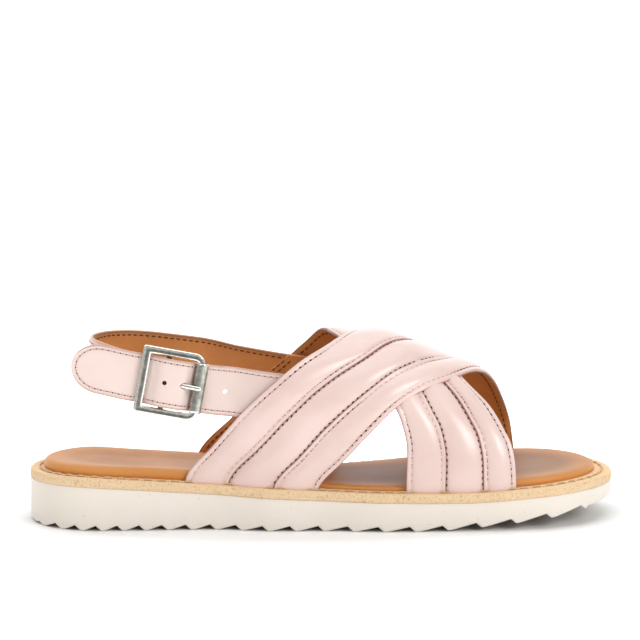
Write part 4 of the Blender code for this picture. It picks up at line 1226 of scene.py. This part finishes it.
# The sling's end, folded round the centre bar in two halves beside the prong
def makeLoop():
    radius = buckle["centreBar"] + sole["gap"]
    big = radius + buckle["loop"]
    root, half = slingBesideBuckle[-1] - sling["loopRoot"], sling["thick"] / 2 - sling["loopIn"]
    inner, outer = [], []
    for a in np.linspace(0.0, 2 * math.pi, 40, endpoint=False):
        inner.append((radius * math.cos(a), barOut + radius * math.sin(a)))
        along, out = big * math.cos(a), barOut + big * math.sin(a)
        if along < -0.3 * big and out < barOut + 0.3 * big:
            along, out = root, (-half if out < barOut - 0.35 * big else half)
        outer.append((along, out))
    inner, outer = np.array(inner), np.array(outer)
    for side, name in ((-1, "slingLoop_lower"), (1, "slingLoop_upper")):
        start, end = side * buckle["notch"] / 2, side * (sling["endWidth"] / 2 - 0.0001)
        rings = [
            atBuckle(part[:, 0], across, part[:, 1])
            for across, part in ((start, outer), (end, outer), (end, inner), (start, inner))
        ]
        tubeObject(name, np.stack(rings), tabLeatherLook, 40, along=True, flip=side > 0)


def tabRoute():
    tail, rear, front, ahead = tab["tail"], buckle["rear"], buckle["front"], tab["front"]
    rows = (
        (-tail, 0.6 * tab["bend"], restOut + tab["spread"]),
        (-0.66 * tail, 0.3 * tab["bend"], restOut + tab["spread"] * 0.6),
        (-0.40 * tail, 0.0, restOut + tab["spread"] * 0.15),
        (-0.78 * rear, 0.0, restOut),
        (-0.46 * rear, 0.0, restOut * 0.62 + overBarOut * 0.38),
        (-0.22 * rear, 0.0, restOut * 0.16 + overBarOut * 0.84),
        (0.0, 0.0, overBarOut),
        (0.30 * front, 0.0, overBarOut * 0.98 + underRollerOut * 0.02),
        (0.50 * front, 0.0, overBarOut * 0.86 + underRollerOut * 0.14),
        (0.66 * front, 0.0, overBarOut * 0.52 + underRollerOut * 0.48),
        (0.80 * front, 0.0, overBarOut * 0.16 + underRollerOut * 0.84),
        (0.92 * front, 0.0, underRollerOut),
        (1.00 * front, 0.0, underRollerOut),
        (0.44 * ahead, 0.0, underRollerOut),
        (0.64 * ahead, 0.20 * tab["bend"], underRollerOut),
        (0.82 * ahead, 0.45 * tab["bend"], underRollerOut),
        (ahead, 0.70 * tab["bend"], underRollerOut),
    )
    return smoothRoute(rows, 300)


# Points of the tab: across in metres, thick in metres from its middle surface
def tabSurface(route, across, thick):
    slope = unit(np.gradient(route, axis=0))
    faceAlong, faceOut = -slope[:, 2][:, None], slope[:, 0][:, None]
    along, side, out = (route[:, k][:, None] for k in range(3))
    points = atBuckle(along + faceAlong * thick, side + across, out + faceOut * thick)
    moved = pressed(points, tab["thick"] / 2 - thick)
    return np.where((points[..., 0] > tab["pressStart"])[..., None], moved, points)


def tabHalf(route, inset=0.0):
    radius = tab["width"] / 2
    into = np.clip(1 - (route[:, 0] + tab["tail"] - inset) / (radius * tab["tipLength"] - inset), 0.0, 1.0)
    return (radius - inset) * np.sqrt(np.maximum(0.0, 1 - into**2))


def rod(name, start, end, radius, sides=24):
    axis = unit(end - start)
    first = unit(np.cross(axis, (0.3, 0.5, 0.81)))
    second = np.cross(axis, first)
    turn = np.linspace(0.0, 2 * math.pi, sides, endpoint=False)
    ring = first * np.cos(turn)[:, None] * radius + second * np.sin(turn)[:, None] * radius
    grid = np.stack((start + ring, end + ring))
    faces = gridFaces(2, sides, around=True) + [tuple(range(sides))[::-1], tuple(range(sides, 2 * sides))]
    data = bpy.data.meshes.new(name)
    data.from_pydata([tuple(point) for point in grid.reshape(-1, 3) + shift], [], faces)
    return bpy.data.objects.new(name, data)


def cutHoles(obj, cutters):
    for cutter in cutters:
        bpy.context.scene.collection.objects.link(cutter)
        modifier = obj.modifiers.new(cutter.name, "BOOLEAN")
        modifier.operation = "DIFFERENCE"
        modifier.solver = "EXACT"
        modifier.object = cutter
    bpy.context.view_layer.update()
    done = bpy.data.meshes.new_from_object(obj.evaluated_get(bpy.context.evaluated_depsgraph_get()))
    obj.modifiers.clear()
    obj.data = done
    for cutter in cutters:
        bpy.data.objects.remove(cutter, do_unlink=True)


def makeTab():
    thick = tab["thick"]
    route = tabRoute()
    tipTurn = 1 - np.cos(np.linspace(0.05, 1.0, 16) * math.pi / 2)
    tip = -tab["tail"] + tipTurn * tab["width"] / 2 * tab["tipLength"]
    along = np.concatenate((tip, route[route[:, 0] > tip[-1] + 0.0004, 0]))
    route = readAlong(along, route[:, 0], route)
    half = np.maximum(tabHalf(route), 0.0008)
    made = []
    for name, low, high, inset, look in (
        ("tabLeather", -0.00015, thick / 2, 0.0, tabLeatherLook),
        ("tabLining", -thick / 2, -0.0001, tab["liningIn"], tanLining),
    ):
        across = np.stack([bandSection(h - inset, low, high, tab["round"], 26)[:, 0] for h in half])
        section = bandSection(half[-1] - inset, low, high, tab["round"], 26)
        shaded = section[:, 2] * tab["edgeShade"]
        out, edge = (np.tile(column, (len(route), 1)) for column in (section[:, 1], shaded))
        grid = tabSurface(route, across, out)
        made.append(tubeObject(name, grid, look, 60, values={"edge": edge}))
    for obj in made:
        middles = [atBuckle(share * tab["pitch"], 0, overBarOut) for share in tab["holes"]]
        cutters = [rod("hole", at - outDir * 0.02, at + outDir * 0.01, tab["hole"]) for at in middles]
        cutters.append(rod("prongHole", prongStart, prongEnd, buckle["prong"] + tab["prongRoom"]))
        cutHoles(obj, cutters)
    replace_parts(made[0], "buckle_tab")
    fine = smoothRoute(route[::6], 700)
    fine = fine[fine[:, 0] > -tab["tail"] + tab["stitchIn"] + 0.00002]
    reach, out = tabHalf(fine, tab["stitchIn"])[:, None], np.full((len(fine), 1), thick / 2 + 0.00002)
    lower, upperLine = (tabSurface(fine, side * reach, out)[:, 0] for side in (-1, 1))
    slope = unit(np.gradient(fine, axis=0))
    ups = -slope[:, 2][:, None] * aheadDir + slope[:, 0][:, None] * outDir
    line = np.concatenate((lower[::-1], upperLine))
    row = stitchRow(line, np.concatenate((ups[::-1], ups)), tab["stitch"], tab["share"])
    sewThreads("tabStitches", row, tab["thread"], pinkThread)
    # Painted shade: a dark disc sunk inside the first hole stands for its shaded inside
    shade = atBuckle(tab["holes"][0] * tab["pitch"], 0, overBarOut + thick / 2 - tab["holeSink"])
    needleHoles("tabHoleShade", {"holes": [shade], "holeUps": [outDir], "ahead": [aheadDir]}, tab["hole"])
    needleHoles("tabHoles", row, tab["needle"], tab["needleLong"])


def frameOutline(rear, front, half, rearRound, frontRound, steps=14):
    points = []
    for x, y, radius, start in (
        (front, -half, frontRound, -90), (front, half, frontRound, 0),
        (rear, half, rearRound, 90), (rear, -half, rearRound, 180),
    ):
        centreX, centreY = x - math.copysign(radius, x), y - math.copysign(radius, y)
        turn = np.radians(start + np.linspace(0.0, 90.0, steps))
        points += list(zip(centreX + radius * np.cos(turn), centreY + radius * np.sin(turn)))
    return np.array(points)


# Share from the outer to the inner edge, height as a share of the thickness, wear
frameSection = (
    (0.00, -0.30, 0.5), (0.0, 0.0, 0.2), (0.00, 0.26, 0.8), (0.06, 0.40, 1.0), (0.16, 0.46, 0.6),
    (0.30, 0.44, 0.1), (0.50, 0.40, 0.0), (0.70, 0.44, 0.1), (0.84, 0.46, 0.6), (0.94, 0.40, 1.0),
    (1.00, 0.26, 0.8), (1.0, 0.0, 0.2), (1.00, -0.30, 0.5), (0.84, -0.47, 0.2), (0.50, -0.5, 0.0),
    (0.16, -0.47, 0.2),
)


def makeFrame():
    half = buckle["height"] / 2
    front = buckle["front"] + buckle["frontBar"] / 2
    outer = frameOutline(-buckle["rear"], front, half, buckle["rearCorner"], buckle["corner"])
    inner = frameOutline(
        -buckle["rear"] + buckle["bar"], front - buckle["frontBar"], half - buckle["rail"],
        0.6 * buckle["rearCorner"], buckle["corner"] / 2,
    )
    grid, edge = [], []
    for share, height, worn in frameSection:
        flat = outer + (inner - outer) * share
        grid.append(atBuckle(flat[:, 0], flat[:, 1], frameOut + buckle["thick"] * height))
        edge.append(np.full(len(flat), worn))
    values = {"edge": np.stack(edge)}
    ring = tubeObject("buckleFrame", np.stack(grid), nickel, 50, along=True, values=values)
    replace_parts(ring, "buckle_frame")
    reach = half - buckle["rail"] / 2
    turn = np.linspace(0.0, 2 * math.pi, 24, endpoint=False)
    bar = np.stack([
        atBuckle(buckle["centreBar"] * np.cos(turn), across, barOut + buckle["centreBar"] * np.sin(turn))
        for across in np.linspace(-reach, reach, 20)
    ])
    tubeObject("buckleBar", bar[:, ::-1], nickel, 50)


def makeRoller():
    radius, bore = buckle["roller"], buckle["bore"]
    # Radius, place along the half length, wear
    half = (
        (radius, 0.45, 0.0), (radius, 0.90, 0.1), (radius, 0.96, 0.7), (radius - 0.0001, 0.985, 1.0),
        (radius - 0.0004, 1.0, 0.8), (bore, 1.0, 0.4),
    )
    profile = [(r, -share, worn) for r, share, worn in half[::-1]] + [(radius, 0.0, 0.0)] + list(half)
    turn = np.linspace(0.0, 2 * math.pi, 48, endpoint=False)
    # The rolled sheet meets in a shallow line at the back
    seam = 1 - buckle["seamDepth"] * bump(turn, buckle["seamAt"], 0.12)
    length = buckle["rollerLength"] / 2
    across, up = seam * np.cos(turn), seam * np.sin(turn)
    rings = [
        atBuckle(buckle["front"] + r * across, share * length, frameOut + r * up) for r, share, _ in profile
    ]
    roller = tubeObject(
        "buckleRoller", np.stack(rings)[:, ::-1], brightNickel, 50, along=True,
        values={"edge": np.array([[worn] * len(turn) for _, _, worn in profile])},
    )
    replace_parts(roller, "buckle_roller")


def makeProng():
    turns = np.radians(np.linspace(-60, -290, 30))
    hook = [atBuckle(hookRadius * math.cos(a), 0, barOut + hookRadius * math.sin(a)) for a in turns]
    hook = [point for point in hook if np.linalg.norm(point - prongStart) > buckle["hookGap"]]
    arm = [prongStart + (prongEnd - prongStart) * t for t in np.linspace(0.0, 1.0, 22)]
    line = resample(hook + arm, 70)
    side = unit(np.cross(unit(np.gradient(line, axis=0)), acrossDir))
    share = np.linspace(0.0, 1.0, len(line))
    tipLeft = np.clip((1 - share) / 0.05, 0.0, 1.0)
    tip = np.sqrt(np.maximum(1 - (1 - tipLeft) ** 2, 0.03))
    radius = buckle["prong"] * (1 - buckle["taper"] * share) * tip
    turn = np.linspace(0.0, 2 * math.pi, 20, endpoint=False)
    grid = line[:, None] + radius[:, None, None] * (
        acrossDir * np.cos(turn)[None, :, None] * 1.08 + side[:, None] * np.sin(turn)[None, :, None]
    )
    edge = np.tile(0.45 + 0.3 * np.abs(np.cos(turn)), (len(line), 1))
    prong = tubeObject("buckleProng", grid, brightNickel, 50, values={"edge": edge})
    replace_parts(prong, "buckle_prong")


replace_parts(makeSole(), "outsole")
print("sole")
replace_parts(makeWelt(), "midsole")
makeWeltStitches()
makeFootbed()
print("welt and footbed")
makeStraps()
print("straps")
makeSling()
makeTab()
print("sling and tab")
makeFrame()
makeRoller()
makeProng()
print("buckle")


# Floor, lights and camera

studio = {
    "glowShape": (6.3, 14.5, 1.0), "glowFade": (0.42, 0.80), "glow": 0.60, "sky": 0.36, "front": -3.0,
    "bendStart": 1.2, "bend": 0.8, "wall": 4.0, "halfWidth": 4.0,
}
# Name, place, target, width, height, watts
softboxes = (
    ("softboxRight", (0.85, -1.0, 0.82), (0.03, 0, 0.05), 0.62, 0.50, 7.2),
    ("softboxLeft", (-1.0, -0.7, 0.9), (0, 0, 0.05), 0.8, 0.8, 2.5),
    ("softboxTop", (0.0, 0.1, 1.5), (0, 0, 0.05), 1.6, 1.6, 11.6),
)
view = {
    "azimuth": math.radians(-3.9), "elevation": math.radians(8.0), "distance": 1.3,
    "target": (-0.001, 0.0, 0.0888), "lens": 161.2, "sensor": 36.0,
}


def makeFloor():
    material, nodes, shader = newMaterial("whiteFloor", 0.6)
    place = nodes.place()
    tone = nodes.mix(nodes.noise(place, 3.0, 2.0), (0.93, 0.93, 0.93), (0.96, 0.96, 0.96))
    nodes.link(tone, shader.inputs["Base Color"])
    # A light table: it glows, except under and close to the shoe
    stretch = nodes.add("ShaderNodeMapping", {"Scale": studio["glowShape"]})
    nodes.link(place, stretch.inputs["Vector"])
    away = nodes.add("ShaderNodeVectorMath", operation="LENGTH")
    nodes.link(stretch.outputs["Vector"], away.inputs[0])
    start, end = studio["glowFade"]
    glow = nodes.ramp(nodes.math("MULTIPLY", away.outputs["Value"], 0.5), ((start, 0.0), (end, 1.0)))
    nodes.link(glow, shader.inputs["Emission Color"])
    shader.inputs["Emission Strength"].default_value = studio["glow"]
    # A curved sweep: flat floor, then up behind
    flat, bend = studio["bendStart"], studio["bend"]
    profile = [(studio["front"], 0.0), (flat, 0.0)]
    for a in np.linspace(0.1, math.pi / 2, 12):
        profile.append((flat + bend * math.sin(a), bend * (1 - math.cos(a))))
    profile.append((flat + bend, studio["wall"]))
    wide = np.linspace(-studio["halfWidth"], studio["halfWidth"], 9)
    rows = [[(x, y, z) for x in wide] for y, z in profile]
    grid = np.array(rows)
    data = bpy.data.meshes.new("floorSweep")
    data.from_pydata([tuple(point) for point in grid.reshape(-1, 3)], [], gridFaces(len(rows), 9))
    data.shade_smooth()
    floor = bpy.data.objects.new("floorSweep", data)
    floor.data.materials.append(material)
    bpy.context.scene.collection.objects.link(floor)


def makeLights():
    scene = bpy.context.scene
    scene.world = bpy.data.worlds.new("studio")
    scene.world.use_nodes = True
    backdrop = scene.world.node_tree.nodes["Background"]
    backdrop.inputs["Color"].default_value = (1.0, 1.0, 1.0, 1.0)
    backdrop.inputs["Strength"].default_value = studio["sky"]
    scene.view_settings.view_transform = "Standard"
    for name, place, target, width, height, power in softboxes:
        data = bpy.data.lights.new(name, "AREA")
        data.shape = "RECTANGLE"
        data.size, data.size_y, data.energy = width, height, power
        lamp = bpy.data.objects.new(name, data)
        lamp.location = place
        lamp.rotation_euler = (Vector(target) - Vector(place)).to_track_quat("-Z", "Y").to_euler()
        scene.collection.objects.link(lamp)


def makeCamera():
    level = math.cos(view["elevation"])
    ahead, aside = -math.cos(view["azimuth"]) * level, math.sin(view["azimuth"]) * level
    back = Vector((aside, ahead, math.sin(view["elevation"])))
    data = bpy.data.cameras.new("camera")
    data.sensor_width, data.lens = view["sensor"], view["lens"]
    camera = bpy.data.objects.new("camera", data)
    camera.location = Vector(view["target"]) + back * view["distance"]
    camera.rotation_mode = "QUATERNION"
    camera.rotation_quaternion = (-back).to_track_quat("-Z", "Y")
    bpy.context.scene.collection.objects.link(camera)
    bpy.context.scene.camera = camera


makeFloor()
makeLights()
makeCamera()
